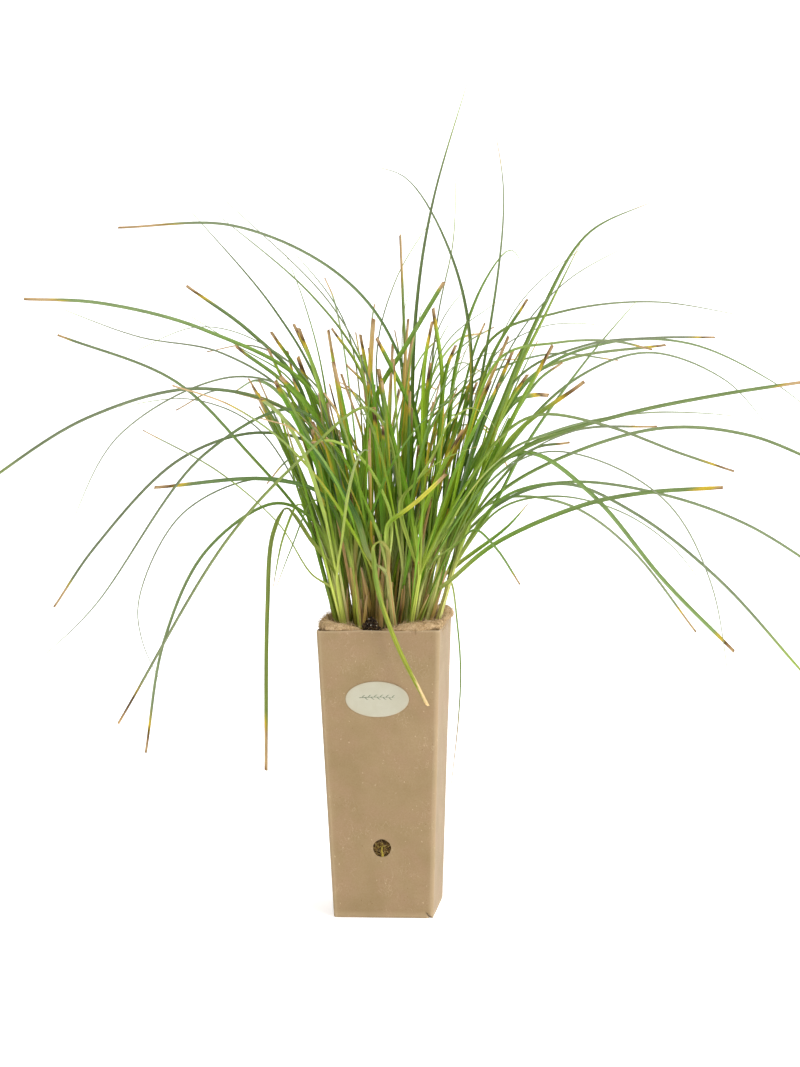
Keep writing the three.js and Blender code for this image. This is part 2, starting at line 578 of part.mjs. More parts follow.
/** A leaf grown by rule: from its shoot, leaning out and bending over along its length. */
function grownLeaf(shoot, random) {
  const arching = random() < ARCHING_SHARE;
  const draw = Array.from({ length: 6 }, random);
  const toFront = shoot.into < 0;
  const kind = arching ? (toFront ? ARCHING_TO_FRONT : ARCHING) : SHORT;
  const between = ([low, high], part) => low + (high - low) * part;
  const outward = arching ? (toFront ? -90 : 90) : THREE.MathUtils.radToDeg(shoot.angle);
  const heading = radians(outward + kind.fan * (draw[0] - 0.5));
  const stride = between(kind.length, draw[1]) / kind.bends;
  const lean = shoot.lean * LEAN_KEPT + between(kind.lean, draw[2]);
  const droop = between(kind.droop, draw[3]);
  const points = leafRoot(shoot, LEAF.leaveLow + LEAF.below / 2
    + (LEAF.leaveHigh - LEAF.leaveLow) * draw[5]);
  for (let k = 0; k < kind.bends; k += 1) {
    const tilt = radians(lean + droop * ((k + 0.5) / kind.bends) ** DROOP_POWER);
    const aside = stride * Math.sin(tilt);
    points.push(points[points.length - 1].clone().add(clumpPoint(
      aside * Math.cos(heading), aside * Math.sin(heading), stride * Math.cos(tilt))));
  }
  const alive = arching && draw[5] < POINTED_SHARE ? 'P' : 'C';
  return {
    shoot, points, width: between(kind.width, draw[4]), end: shoot.dry ? 'D' : alive,
    segments: kind.segments, facing: false,
  };
}

/** Every leaf with the clear path that it was bent to. */
function layLeaves(shoots) {
  const random = seededRandom(SEED + 2);
  const taken = shoots.map((shoot) => {
    const path = [shootAxis(shoot, SHOOT.foot), shootAxis(shoot, shoot.top)];
    return { shoot, path, width: SHOOT.width, box: pathBox(path, SHOOT.width) };
  });
  const leaves = [];
  const settles = (leaf) => {
    const path = bendClear(leaf.points, leaf.segments, leaf.width, leaf.shoot, taken);
    if (!path) return false;
    leaf.shoot.leaves += 1;
    taken.push({ shoot: leaf.shoot, path, width: leaf.width, box: pathBox(path, leaf.width) });
    leaves.push({ ...leaf, path });
    return true;
  };
  LEAF_ROWS.forEach((row) => rowLeaves(row, shoots).some(settles));
  shoots.forEach((shoot, k) => {
    const missing = k === FRONT.shoot ? 0 : Math.max(LEAVES_PER_SHOOT - shoot.leaves, 1);
    for (let draw = 0, grown = 0; draw < 3 * missing && grown < missing; draw += 1) {
      grown += settles(grownLeaf(shoot, random)) ? 1 : 0;
    }
  });
  return leaves;
}

function leafWidthAt(leaf, along) {
  const past = (start) => Math.max(0, (along - start) / (1 - start));
  const swell = BLADE.footWidth + (1 - BLADE.footWidth) * Math.min(1, along / BLADE.fullAt);
  const narrowing = leaf.end === 'P'
    ? 1 - past(BLADE.pointFrom) ** 1.5
    : 1 - BLADE.cutNarrowing * past(BLADE.cutFrom);
  return Math.max(leaf.width * swell * narrowing, LEAF.minWidth);
}

/** The turn about a blade's path that shows its flat to the front, not far from the last one. */
function turnToFront(along, side, back, last) {
  const flat = along.clone().cross(clumpPoint(0, -1, 0));
  const turn = Math.atan2(flat.dot(back), flat.dot(side));
  const nearest = turn - Math.PI * Math.round((turn - last) / Math.PI);
  return THREE.MathUtils.clamp(nearest, last - LEAF.turnStep, last + LEAF.turnStep);
}

/** The keeled, three-sided blade along a leaf's path. */
function leafSolid(leaf) {
  const { path } = leaf;
  const side = new THREE.Vector3();
  let turned = 0;
  const rings = path.map((point, k) => {
    const ahead = path[Math.min(k + 1, path.length - 1)];
    const behind = path[Math.max(k - 1, 0)];
    const along = ahead.clone().sub(behind).normalize();
    if (k === 0) {
      const turn = leaf.facing ? radians(CLUMP_TURN) : leaf.shoot.twist + 1.3 * leaf.width;
      side.set(Math.cos(turn), Math.sin(turn), 0);
    }
    side.addScaledVector(along, -side.dot(along)).normalize();
    const back = along.clone().cross(side);
    turned = leaf.facing ? turnToFront(along, side, back, turned) : 0;
    const flat = side.clone().applyAxisAngle(along, turned);
    const lift = back.clone().applyAxisAngle(along, turned);
    const width = leafWidthAt(leaf, k / (path.length - 1));
    const keel = Math.max(width * LEAF.keel, LEAF.minThick);
    const at = (across, up) => point.clone().addScaledVector(flat, across * width)
      .addScaledVector(lift, up * keel);
    const rise = 1 - LEAF.keelDrop;
    return [at(-0.5, rise), at(0.5, rise), at(0, -LEAF.keelDrop)];
  });
  return loft(rings);
}

// ---------------------------------------------------------------- assembly
function buildRootBall(shoots) {
  let block = taperedBlock(POT.wall + GAP, POT.floor + GAP, SOIL_TOP);
  for (const shoot of shoots) {
    block = block.subtract(shootBase(shoot, GAP, shoot.top));
  }
  return meshOf(block, 'root_ball', COLOURS.compost, 1);
}

function buildShoot(shoot, leaves, name) {
  let body = shootBase(shoot, 0, shoot.top);
  for (const leaf of leaves) {
    body = body.add(leafSolid(leaf));
  }
  const colour = shoot.dry ? COLOURS.dry : COLOURS.leaf;
  return meshOf(body, name, colour, 0.55);
}

function buildSedge() {
  const shoots = placeShoots();
  const leaves = layLeaves(shoots);
  const sedge = new THREE.Group();
  sedge.add(buildPot(), buildLabel(), buildRootBall(shoots), buildMat());
  const counts = { tiller: 0, dry_tiller: 0 };
  for (const shoot of shoots) {
    const kind = shoot.dry ? 'dry_tiller' : 'tiller';
    counts[kind] += 1;
    const name = `${kind}_${String(counts[kind]).padStart(2, '0')}`;
    sedge.add(buildShoot(shoot, leaves.filter((leaf) => leaf.shoot === shoot), name));
  }
  return sedge;
}

export default buildSedge();
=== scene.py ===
"""The looks of a tufted sedge in a tall card pot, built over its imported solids.

Lengths are millimetres until a mesh is made, +Z is up, and the pot's labelled face looks
along -Y. The leaves follow the same rule, row by row and draw by draw, as the solids do.
"""
import math
import bmesh
import bpy
import numpy as np
from mathutils import Matrix, Vector


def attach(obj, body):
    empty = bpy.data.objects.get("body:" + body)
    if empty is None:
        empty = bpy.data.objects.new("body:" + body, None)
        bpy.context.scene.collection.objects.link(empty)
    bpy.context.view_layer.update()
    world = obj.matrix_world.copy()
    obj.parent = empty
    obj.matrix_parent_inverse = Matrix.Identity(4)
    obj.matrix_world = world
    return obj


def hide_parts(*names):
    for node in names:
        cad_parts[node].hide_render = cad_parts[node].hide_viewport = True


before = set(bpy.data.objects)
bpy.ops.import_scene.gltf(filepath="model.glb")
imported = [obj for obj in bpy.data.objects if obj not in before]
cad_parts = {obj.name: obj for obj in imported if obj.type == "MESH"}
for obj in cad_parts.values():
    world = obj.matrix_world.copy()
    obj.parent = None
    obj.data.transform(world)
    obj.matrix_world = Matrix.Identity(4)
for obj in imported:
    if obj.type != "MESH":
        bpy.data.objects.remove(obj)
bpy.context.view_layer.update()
MM = 0.001

# ---- sizes shared with the solids
POT = dict(height=212, foot_half=36.7, top_half=45, wall=1.4, floor=3)
DRAIN = dict(radius=6.6, height=52)
LABEL = dict(half_width=23, half_height=13, centre_x=-1.4, centre_z=162)
SOIL_TOP = 205
CLUMP_TURN = 6.3
CLUMP = dict(count=34, spread_u=39.5, spread_v=32, spare=3, jitter=1.6)
NOTCH_SOIL = dict(left=-21, right=-4, back=-23)
SHOOT = dict(foot=187, ground=212, top=262, top_spread=12, width=5.4, depth=4, taper=0.62,
             lean=14, lean_bias=3, lean_jitter=3)
DRY_EVERY = 4
FRONT = dict(shoot=23, lean_across=-5.5)
LEAVES_PER_SHOOT = 6
CROWDING = 6
FOOT_CHOICES = 5
LEAF = dict(root=30, below=14, leave_low=224, leave_high=250, facing_width=1.9)
BLADE = dict(foot_width=0.8, full_at=0.2, point_from=0.35, point=0.06, cut_from=0.5,
             cut_narrowing=0.15)
ARCHING_SHARE = 0.42
POINTED_SHARE = 0.6
ARCHING = dict(bends=5, segments=7, fan=100, length=(190, 340), lean=(9, 23),
               droop=(60, 125), width=(1.5, 3.1))
ARCHING_TO_FRONT = dict(ARCHING, length=(190, 260), droop=(40, 65))
SHORT = dict(bends=3, segments=4, fan=150, length=(90, 185), lean=(2, 11), droop=(6, 22),
             width=(2.4, 4.3))
LEAN_KEPT = 0.8
DROOP_POWER = 1.3
TURN_STEP = 2.5
TURN_TRIES = 17
CLEARANCE = 0.4
POT_MARGIN = dict(beside=4.5, above=11)
PATH_STEPS = 120
GOLDEN_ANGLE = 137.508
SEED = 20711
MODULUS = 2147483647

# Leaves laid one by one, as in the solids: width, how it ends, the foot across and into the
# clump, the depth of the tip, and the points passed, across and up. Then come the leaf's
# tone, how its tip has dried, and over how many millimetres.
LEAF_ROWS = [
    # bent over beside and in front of the pot
    (1.6, "P", 44, -2, -12, (48, 241, 53, 209, 55, 175, 53, 140, 49, 107, 46, 85),
     "mid", "tan", 62),
    (3.4, "C", 6, -34, -62, (2, 270, -3, 276, -7, 274, -7, 264, -5, 245, 1, 224, 12, 196, 30, 160),
     "fresh", "ripe", 92),
    (3.2, "C", 6, -34, -66, (2, 283, 5, 291, 14, 298, 25, 307, 45, 326), "lime", "yellow", 52),
    # from the tiller in front, across the heart
    (4, "P", 2, -32, -56, (-11, 266, -19, 293, -33, 319, -48, 342, -62, 370, -77, 398),
     "blue", "grey", 60),
    (2.6, "C", 6, -34, -50, (-2, 277, -12, 302, -22, 326, -31, 342, -40, 352), "mid", "tan", 8),
    (2.2, "C", 6, -34, -58, (6, 292, -3, 318, -12, 333, -23, 344, -36, 350, -50, 349),
     "pale", "tan", 10),
    (2, "P", 8, -34, -60, (12, 303, 25, 320, 37, 339, 48, 361, 64, 372, 78, 362, 84, 345),
     "pale", "tan", 16),
    (1.6, "P", 10, -33, -56, (14, 303, 27, 322, 45, 336, 72, 346), "pale", "tan", 8),
    # in front of the heart
    (4.2, "C", 18, -30, -38, (15, 319, 8, 347, 3, 369, -2, 400), "mid", "burnt", 16),
    (3.4, "C", 30, -24, -36, (28, 334, 22, 367, 15, 385, -3, 422), "mid", "burnt", 12),
    # upright ones
    (2.8, "P", 14, 0, -10, (25, 432, 38, 515, 67, 611), "deep", "grey", 80),
    (2.2, "P", 38, 12, 30, (75, 400, 91, 520, 84, 580), "deep", "tan", 40),
    (2.8, "P", 42, -10, -30, (65, 409, 51, 481, 20, 535, -7, 545), "deep", "tan", 14),
    (1.8, "P", 24, 26, 60, (42, 434, 54, 490, 57, 548), "grey", "grey", 90),
    (1.5, "P", -2, 32, 70, (-4, 398, 11, 461, 46, 517), "grey", "grey", 90),
    (2.4, "C", 12, 18, 40, (17, 427, 15, 495), "mid", "tan", 40),
    (1.6, "P", 14, 32, 60, (16, 430, 25, 466), "grey", "grey", 50),
    (3.6, "C", -14, -28, -40, (-6, 376, 18, 418, 44, 461), "mid", "tan", 7),
    (3.4, "P", 30, 14, 40, (55, 400, 77, 461, 96, 483, 106, 471), "mid", "grey", 40),
    (1.6, "P", 20, 30, 90, (42, 423, 75, 466), "grey", "grey", 50),
    (1.8, "P", 16, -28, -60, (42, 410, 86, 450), "mid", "tan", 8),
    (2.0, "P", 20, 8, 30, (40, 410, 56, 438), "mid", "grey", 30),
    # to the right, from the highest to the lowest
    (3.6, "P", 38, -14, -35, (88, 376, 116, 440, 149, 494, 199, 518), "mid", "tan", 18),
    (3.2, "P", 42, 4, 10, (95, 385, 122, 440, 149, 493), "lime", "tan", 18),
    (1.5, "P", 40, 22, 80, (85, 410, 110, 451, 178, 502), "grey", "grey", 80),
    (1.4, "P", 42, -20, -70, (88, 405, 130, 459, 192, 494), "grey", "grey", 80),
    (2.4, "P", 44, -4, -20, (81, 299, 104, 342, 148, 403, 191, 453), "mid", "grey", 50),
    (2.2, "P", 36, 20, 60, (79, 415, 130, 436, 201, 443, 278, 430), "mid", "tan", 22),
    (1.4, "P", 36, 28, 90, (80, 400, 116, 424, 150, 427, 181, 421), "grey", "grey", 60),
    (2.0, "C", 34, -24, -60, (84, 405, 125, 417, 165, 418, 192, 412), "lime", "tan", 14),
    (1.9, "C", 42, -12, -40, (95, 388, 146, 414, 194, 419, 238, 419), "mid", "burnt", 18),
    (2.4, "P", 40, 10, 30, (108, 388, 165, 414, 225, 413, 284, 386, 325, 355), "mid", "tan", 20),
    (2.4, "C", 44, 16, 45, (105, 385, 138, 402, 211, 411), "lime", "burnt", 16),
    (2.2, "P", 42, -18, -55, (99, 352, 145, 394, 192, 409, 245, 389, 278, 352), "mid", "tan", 14),
    (3.0, "C", 36, -26, -60, (72, 318, 105, 344, 175, 366, 241, 379, 302, 388), "mid", "tan", 24),
    (2.0, "P", 38, 24, 70, (80, 325, 130, 349, 191, 360, 240, 359, 279, 354), "mid", "tan", 24),
    (2.0, "C", 40, -2, -10, (84, 325, 142, 353, 202, 356), "lime", "tan", 20),
    (2.2, "C", 22, -30, -75, (85, 350, 112, 366, 157, 359, 210, 339, 248, 326),
     "lime", "burnt", 24),
    (2.6, "C", 44, 8, 25, (81, 302, 130, 330, 205, 351, 269, 345, 330, 320), "mid", "tan", 14),
    (1.8, "P", 24, -34, -80, (85, 325, 118, 340, 163, 330, 205, 300, 232, 246, 245, 168),
     "deep", "tan", 30),
    (3.2, "C", 22, -26, -60, (72, 322, 104, 338, 148, 308, 200, 244, 249, 193), "mid", "burnt", 20),
    (2.0, "C", 38, 30, 60, (80, 296, 106, 300, 144, 290, 186, 257, 234, 194), "mid", "tan", 26),
    (1.8, "P", 40, -10, -30, (85, 296, 125, 305, 171, 294, 207, 270, 231, 240), "mid", "tan", 16),
    (2.4, "C", 40, 22, 70, (88, 297, 135, 309, 187, 286, 251, 234, 318, 158), "deep", "grey", 60),
    (2.2, "C", 42, -6, -25, (86, 303, 135, 315, 200, 306, 263, 283, 330, 240), "mid", "grey", 40),
    (3.4, "C", 42, -16, -45, (50, 247, 82, 273, 144, 300, 187, 309, 244, 313), "mid", "gold", 24),
    (3.0, "P", 42, 14, 30, (54, 252, 91, 279, 110, 299), "mid", "burnt", 14),
    (1.8, "C", 34, -30, -60, (55, 275, 66, 284, 80, 272, 97, 246), "mid", "tan", 10),
    # to the left, from the highest to the lowest
    (2.2, "C", 33, 8, 35, (12, 411, -28, 466, -104, 503, -189, 503), "deep", "tan", 46),
    (2.0, "P", -16, 12, 55, (-46, 383, -80, 443, -150, 526), "deep", "grey", 40),
    (2.0, "P", 8, 20, 60, (-12, 395, -50, 450, -134, 523), "mid", "gold", 14),
    (1.7, "P", 10, -5, -40, (-9, 391, -36, 447, -117, 529), "grey", "grey", 40),
    (1.5, "P", -5, 30, 90, (-25, 424, -76, 497), "grey", "grey", 60),
    (1.8, "P", -24, 25, 80, (-44, 393, -57, 445, -73, 487), "mid", "grey", 40),
    (2.8, "C", -16, -8, -30, (-50, 382, -125, 428, -200, 449, -255, 453), "mid", "tan", 30),
    (2.8, "C", -28, 8, 20, (-60, 385, -95, 425, -142, 460), "deep", "burnt", 22),
    (1.8, "P", -27, 18, 45, (-64, 385, -105, 414, -147, 441), "mid", "tan", 20),
    (3.0, "C", -25, -2, 5, (-60, 375, -106, 416), "mid", "umber", 10),
    (1.8, "P", -20, 28, 70, (-66, 372, -120, 409, -185, 422, -258, 449), "grey", "grey", 60),
    (2.2, "C", -36, 2, 0, (-58, 289, -97, 337, -150, 391, -235, 426), "bright", "tan", 10),
    (1.5, "P", -18, -20, -55, (-47, 383, -88, 421, -130, 432, -184, 411), "grey", "grey", 50),
    (2.4, "C", -22, -14, -45, (-58, 362, -127, 387, -210, 368, -300, 312), "deep", "grey", 50),
    (1.6, "P", -14, 14, 60, (-55, 371, -108, 392, -198, 349, -247, 262), "grey", "grey", 70),
    (1.8, "C", -42, -6, -15, (-53, 250, -76, 287, -118, 325, -173, 357), "pale", "tan", 14),
    (3.0, "C", -20, -24, -50, (-42, 308, -80, 322, -163, 318), "deep", "burnt", 26),
    (2.2, "P", -14, -26, -70, (-32, 340, -62, 372, -127, 341, -208, 233, -251, 193),
     "deep", "grey", 40),
    (2.2, "C", -22, 22, 40, (-47, 337, -90, 351, -150, 332, -215, 267, -247, 222),
     "deep", "tan", 24),
    (1.6, "P", -30, 16, 30, (-62, 312, -97, 317, -150, 291, -182, 230, -181, 198, -160, 150),
     "deep", "grey", 30),
    (2.2, "C", 12, -30, -75, (3, 352, -14, 373, -60, 339, -115, 282, -194, 155),
     "pale", "umber", 34),
    (2.3, "C", -30, -16, -30, (-52, 291, -78, 303, -128, 270, -160, 205, -175, 123),
     "mid", "burnt", 30),
    (3.2, "C", -38, -18, -25, (-52, 275, -70, 299, -80, 281, -85, 225, -88, 108),
     "fresh", "tan", 40),
    (2.2, "P", -34, 24, 28, (-50, 275, -62, 298, -74, 275, -84, 230), "pale", "tan", 16),
    (1.5, "P", -28, -28, -45, (-42, 300, -50, 306, -66, 273, -81, 235), "mid", "tan", 20),
    (1.8, "P", -40, 8, 20, (-56, 290, -66, 320, -79, 370), "lime", "umber", 12),
    (1.5, "P", -38, 14, 50, (-62, 305, -97, 356, -145, 375, -206, 369), "grey", "grey", 60),
    (1.8, "C", -18, 4, 15, (-53, 357, -80, 373, -116, 384), "straw", "umber", 12),
    # the cut leaves of the heart, from left to right
    (3.0, "C", -30, 30, 45, (-48, 308, -56, 327), "mid", "umber", 8),
    (3.0, "C", -22, 0, 5, (-53, 381, -80, 426), "mid", "burnt", 16),
    (4.2, "C", -24, -24, -45, (-46, 363, -72, 396), "mid", "tan", 8),
    (3.0, "C", -17, 10, 20, (-47, 391, -64, 431), "mid", "burnt", 16),
    (3.2, "C", -14, -12, -15, (-45, 386, -59, 429), "pale", "burnt", 18),
    (3.0, "C", -20, 20, 30, (-30, 366, -39, 426), "pale", "tan", 22),
    (2.4, "C", 0, 16, 30, (-14, 390, -37, 427), "lime", "burnt", 14),
    (2.2, "C", 3, -16, -30, (-10, 384, -25, 403), "mid", "tan", 14),
    (3.0, "C", -2, 0, 5, (-9, 385, -15, 423), "lime", "burnt", 18),
    (4.0, "D", -3, -10, -14, (-8, 400, -5, 435), "lime", "withered", 84),
    (1.8, "C", 14, 26, 40, (14, 400, 10, 425), "mid", "burnt", 14),
    (2.6, "D", 12, 5, 8, (17, 400, 20, 434), "mid", "withered", 96),
    (3.6, "D", 16, -6, -8, (21, 396, 25, 423), "lime", "withered", 70),
    (3.0, "C", 26, -22, -30, (31, 400, 37, 433), "lime", "burnt", 20),
    (3.0, "C", 28, 20, 30, (33, 380, 37, 401), "lime", "umber", 18),
    (3.4, "C", 36, -6, -8, (44, 388, 38, 442), "lime", "burnt", 16),
    (3.0, "C", 34, -10, -14, (47, 397, 54, 415), "mid", "burnt", 14),
    (2.0, "C", 40, 26, 50, (69, 411, 77, 429), "mid", "tan", 14),
    (3.0, "D", 34, 0, 0, (73, 377, 93, 420), "mid", "withered", 130),
    (2.6, "C", 40, 2, 10, (78, 400, 107, 447), "mid", "burnt", 12),
    (3.2, "C", 42, 8, 15, (92, 370, 107, 392), "lime", "burnt", 16),
    (1.8, "C", 44, 24, 55, (105, 395, 116, 415), "mid", "tan", 14),
    (3.4, "C", 42, -8, -20, (90, 350, 126, 415), "lime", "burnt", 26),
    (2.4, "C", 42, 12, 25, (112, 384, 133, 400), "mid", "tan", 12),
    (4.0, "C", 40, 18, 40, (105, 369, 125, 374, 140, 373), "mid", "burnt", 22),
    (3.6, "C", 44, -14, -40, (92, 347, 145, 389), "lime", "burnt", 30),
    (2.2, "C", 44, -22, -60, (104, 339, 133, 347), "mid", "tan", 12),
]


# ---- colours
def linear(red, green, blue):
    """A colour given as it looks on a screen, as light."""
    return tuple((c / 255 / 12.92) if c <= 10 else ((c / 255 + 0.055) / 1.055) ** 2.4
                 for c in (red, green, blue))


TONES = {
    "deep": linear(80, 116, 32),
    "blue": linear(90, 132, 54),
    "mid": linear(110, 148, 24),
    "bright": linear(122, 168, 38),
    "fresh": linear(132, 154, 56),
    "lime": linear(146, 176, 32),
    "pale": linear(168, 188, 84),
    "grey": linear(116, 136, 92),
    "straw": linear(204, 172, 92),
    "tan": linear(196, 164, 122),
    "burn": linear(150, 112, 74),
    "gold": linear(206, 176, 48),
    "yellow": linear(214, 206, 78),
    "bleached": linear(236, 206, 156),
    "olive": linear(160, 168, 50),
    "umber": linear(84, 54, 24),
    "sheath": linear(232, 228, 146),
    "stalk": linear(206, 214, 98),
    "husk": linear(206, 166, 108),
    "bark": linear(130, 96, 44),
}
# How a tip has dried: from the very tip (0) to sound leaf (1), the tone at each place.
TIPS = {
    "grey": ((0, "pale"), (1, None)),
    "tan": ((0, "burn"), (0.1, "tan"), (0.66, "tan"), (0.74, "burn"), (0.8, "gold"), (1, None)),
    "burnt": ((0, "burn"), (0.08, "tan"), (0.36, "burn"), (0.44, "umber"), (0.52, "umber"),
              (0.58, "gold"), (0.74, "gold"), (1, None)),
    "gold": ((0, "burn"), (0.16, "tan"), (0.28, "gold"), (0.74, "gold"), (1, None)),
    "umber": ((0, "husk"), (0.26, "burn"), (0.4, "umber"), (0.72, "umber"), (0.85, "gold"),
              (1, None)),
    "withered": ((0, "burn"), (0.05, "tan"), (0.4, "straw"), (0.72, "gold"), (1, None)),
    "yellow": ((0, "burn"), (0.05, "tan"), (0.14, "tan"), (0.2, "yellow"), (0.66, "yellow"),
               (1, None)),
    "ripe": ((0, "bleached"), (0.14, "bleached"), (0.16, "olive"), (0.55, "olive"), (1, None)),
}
# The share of a dried length over which the tip has withered and is narrower.
DRIED_AT = {"grey": 0.2, "tan": 0.75, "burnt": 0.6, "gold": 0.3, "umber": 0.85, "yellow": 0.16,
            "ripe": 0.14, "withered": 0.2}
GROWN_TONES = ("mid", "mid", "mid", "mid", "lime", "bright", "bright", "blue", "deep", "pale")
GROWN_CUT_TIPS = ("burnt", "burnt", "tan", "umber", "gold")
GROWN_POINTED_TIPS = ("grey", "grey", "tan")
SKY_SHEEN_TONE = linear(146, 153, 130)  # painted sheen: the paler grey that leaves are painted towards far out from the clump


# ---- the rule of the leaves
def seeded_random(seed):
    """The same draws from 0 to 1 as the solids take."""
    state = seed
    while True:
        state = (state * 16807) % MODULUS
        yield state / MODULUS


def clump_point(across, into, up):
    """A point given across and into the clump, which stands a little turned in its pot."""
    turn = math.radians(CLUMP_TURN)
    return np.array((across * math.cos(turn) - into * math.sin(turn),
                     across * math.sin(turn) + into * math.cos(turn), up))


def clump_place(points):
    """How far across and into the clump points lie: the reverse of clump_point."""
    turn = math.radians(CLUMP_TURN)
    x, y = points[..., 0], points[..., 1]
    return (x * math.cos(turn) + y * math.sin(turn),
            y * math.cos(turn) - x * math.sin(turn))


def between(ends, part):
    return ends[0] + (ends[1] - ends[0]) * part


def pot_half_at(z):
    return POT["foot_half"] + (POT["top_half"] - POT["foot_half"]) * z / POT["height"]


def place_shoots():
    """The shoots, in a sunflower's spiral, but for those in the bare notch at the front."""
    draws = seeded_random(SEED)
    shoots = []
    k = 0
    while len(shoots) < CLUMP["count"]:
        reach = math.sqrt((k + 0.5) / (CLUMP["count"] + CLUMP["spare"]))
        angle = math.radians(k * GOLDEN_ANGLE)
        across = CLUMP["spread_u"] * reach * math.cos(angle) + CLUMP["jitter"] * (next(draws) - 0.5)
        into = CLUMP["spread_v"] * reach * math.sin(angle) + CLUMP["jitter"] * (next(draws) - 0.5)
        lean = SHOOT["lean"] * reach
        in_front = len(shoots) == FRONT["shoot"]
        lean_across = (lean * math.cos(angle) + SHOOT["lean_bias"]
                       + SHOOT["lean_jitter"] * (next(draws) - 0.5))
        if in_front:
            lean_across = FRONT["lean_across"]
        lean_into = lean * math.sin(angle) + SHOOT["lean_jitter"] * (next(draws) - 0.5)
        top = SHOOT["top"] + SHOOT["top_spread"] * next(draws)
        twist = math.pi * next(draws)
        bare = (NOTCH_SOIL["left"] < across < NOTCH_SOIL["right"]
                and into < NOTCH_SOIL["back"])
        if not bare:
            shoots.append(dict(
                across=across, into=into, top=top, twist=twist, angle=angle, lean=lean,
                slope_across=math.tan(math.radians(lean_across)),
                slope_into=math.tan(math.radians(lean_into)),
                dry=len(shoots) % DRY_EVERY == DRY_EVERY - 1 and not in_front,
                leaves=0, number=len(shoots)))
        k += 1
    return shoots


def shoot_axis(shoot, z):
    climb = z - SHOOT["ground"]
    return clump_point(shoot["across"] + climb * shoot["slope_across"],
                       shoot["into"] + climb * shoot["slope_into"], z)


def smooth_curve(points, steps):
    """The centripetal Catmull-Rom curve through the points, from the second one on."""
    points = np.asarray(points, float)
    last = len(points) - 1
    padded = np.vstack((2 * points[0] - points[1], points, 2 * points[-1] - points[-2]))
    place = 1 + (last - 1) * np.arange(steps + 1) / steps
    span = np.minimum(place.astype(int), last - 1)
    part = (place - span)[:, None]
    p0, p1, p2, p3 = (padded[span + k] for k in range(4))
    d0, d1, d2 = (np.sqrt(np.linalg.norm(b - a, axis=1, keepdims=True))
                  for a, b in ((p0, p1), (p1, p2), (p2, p3)))
    t1 = ((p1 - p0) / d0 - (p2 - p0) / (d0 + d1) + (p2 - p1) / d1) * d1
    t2 = ((p2 - p1) / d1 - (p3 - p1) / (d1 + d2) + (p3 - p2) / d2) * d1
    return (p1 + t1 * part + (-3 * p1 + 3 * p2 - 2 * t1 - t2) * part ** 2
            + (2 * p1 - 2 * p2 + t1 + t2) * part ** 3)


def lengths_along(line):
    steps = np.linalg.norm(np.diff(line, axis=0), axis=1)
    return np.concatenate(([0.0], np.cumsum(steps)))


def resample(line, places):
    """Points at these lengths along a line."""
    lengths = lengths_along(line)
    return np.stack([np.interp(places, lengths, line[:, k]) for k in range(3)], axis=1)


def segment_distances(path, other):
    """Distance from every segment of one path to every segment of another."""
    a, b = path[:-1, None], path[1:, None]
    c, d = other[None, :-1], other[None, 1:]
    u, v, w = b - a, d - c, a - c
    uu, vv, uv = (u * u).sum(-1), (v * v).sum(-1), (u * v).sum(-1)
    uw, vw = (u * w).sum(-1), (v * w).sum(-1)
    spread = uu * vv - uv * uv
    safe = np.where(spread > 1e-9, spread, 1)
    first = np.where(spread > 1e-9, np.clip((uv * vw - vv * uw) / safe, 0, 1), 0)
    t = np.clip((uv * first + vw) / vv, 0, 1)
    s = np.clip((uv * t - uw) / uu, 0, 1)
    return np.linalg.norm(w + s[..., None] * u - t[..., None] * v, axis=-1)


class Taken:
    """The stems and leaves laid so far, with a box round each."""

    def __init__(self):
        self.all = []
        self.low = np.empty((0, 3))
        self.high = np.empty((0, 3))

    def add(self, shoot, path, width):
        self.all.append((shoot, path, width))
        self.low = np.vstack((self.low, path.min(axis=0) - width))
        self.high = np.vstack((self.high, path.max(axis=0) + width))

    def leaves_clear(self, path, width, shoot):
        margin = width / 2 + CLEARANCE
        low = path.min(axis=0) - margin
        high = path.max(axis=0) + margin
        near = np.flatnonzero(((self.low <= high) & (self.high >= low)).all(axis=1))
        for k in near:
            owner, other, other_width = self.all[k]
            need = (width + other_width) / 2 + CLEARANCE
            if owner is not shoot and segment_distances(path, other).min() < need:
                return False
        return True


def misses_pot(path):
    reach = np.abs(path[:, :2]).max(axis=1)
    beside = reach > pot_half_at(path[:, 2]) + POT_MARGIN["beside"]
    return bool((beside | (path[:, 2] > POT["height"] + POT_MARGIN["above"])).all())


def bend_clear(leaf, taken):
    """Turns a leaf about the upright through its root until it is clear of the others."""
    points = leaf["points"]
    pivot = points[1]
    for tries in range(TURN_TRIES):
        steps = tries / 2 if tries % 2 == 0 else -(tries + 1) / 2
        turn = math.radians(TURN_STEP * steps)
        spin = np.array(((math.cos(turn), -math.sin(turn), 0),
                         (math.sin(turn), math.cos(turn), 0), (0, 0, 1)))
        turned = points[:2] + [pivot + spin @ (point - pivot) for point in points[2:]]
        line = smooth_curve(turned, PATH_STEPS)
        path = resample(line, np.linspace(0, lengths_along(line)[-1], leaf["segments"] + 1))
        if misses_pot(path) and taken.leaves_clear(path, leaf["width"], leaf["shoot"]):
            return path, line
    return None, None


def leaf_root(shoot, leave):
    return [shoot_axis(shoot, leave - LEAF["root"]), shoot_axis(shoot, leave)]


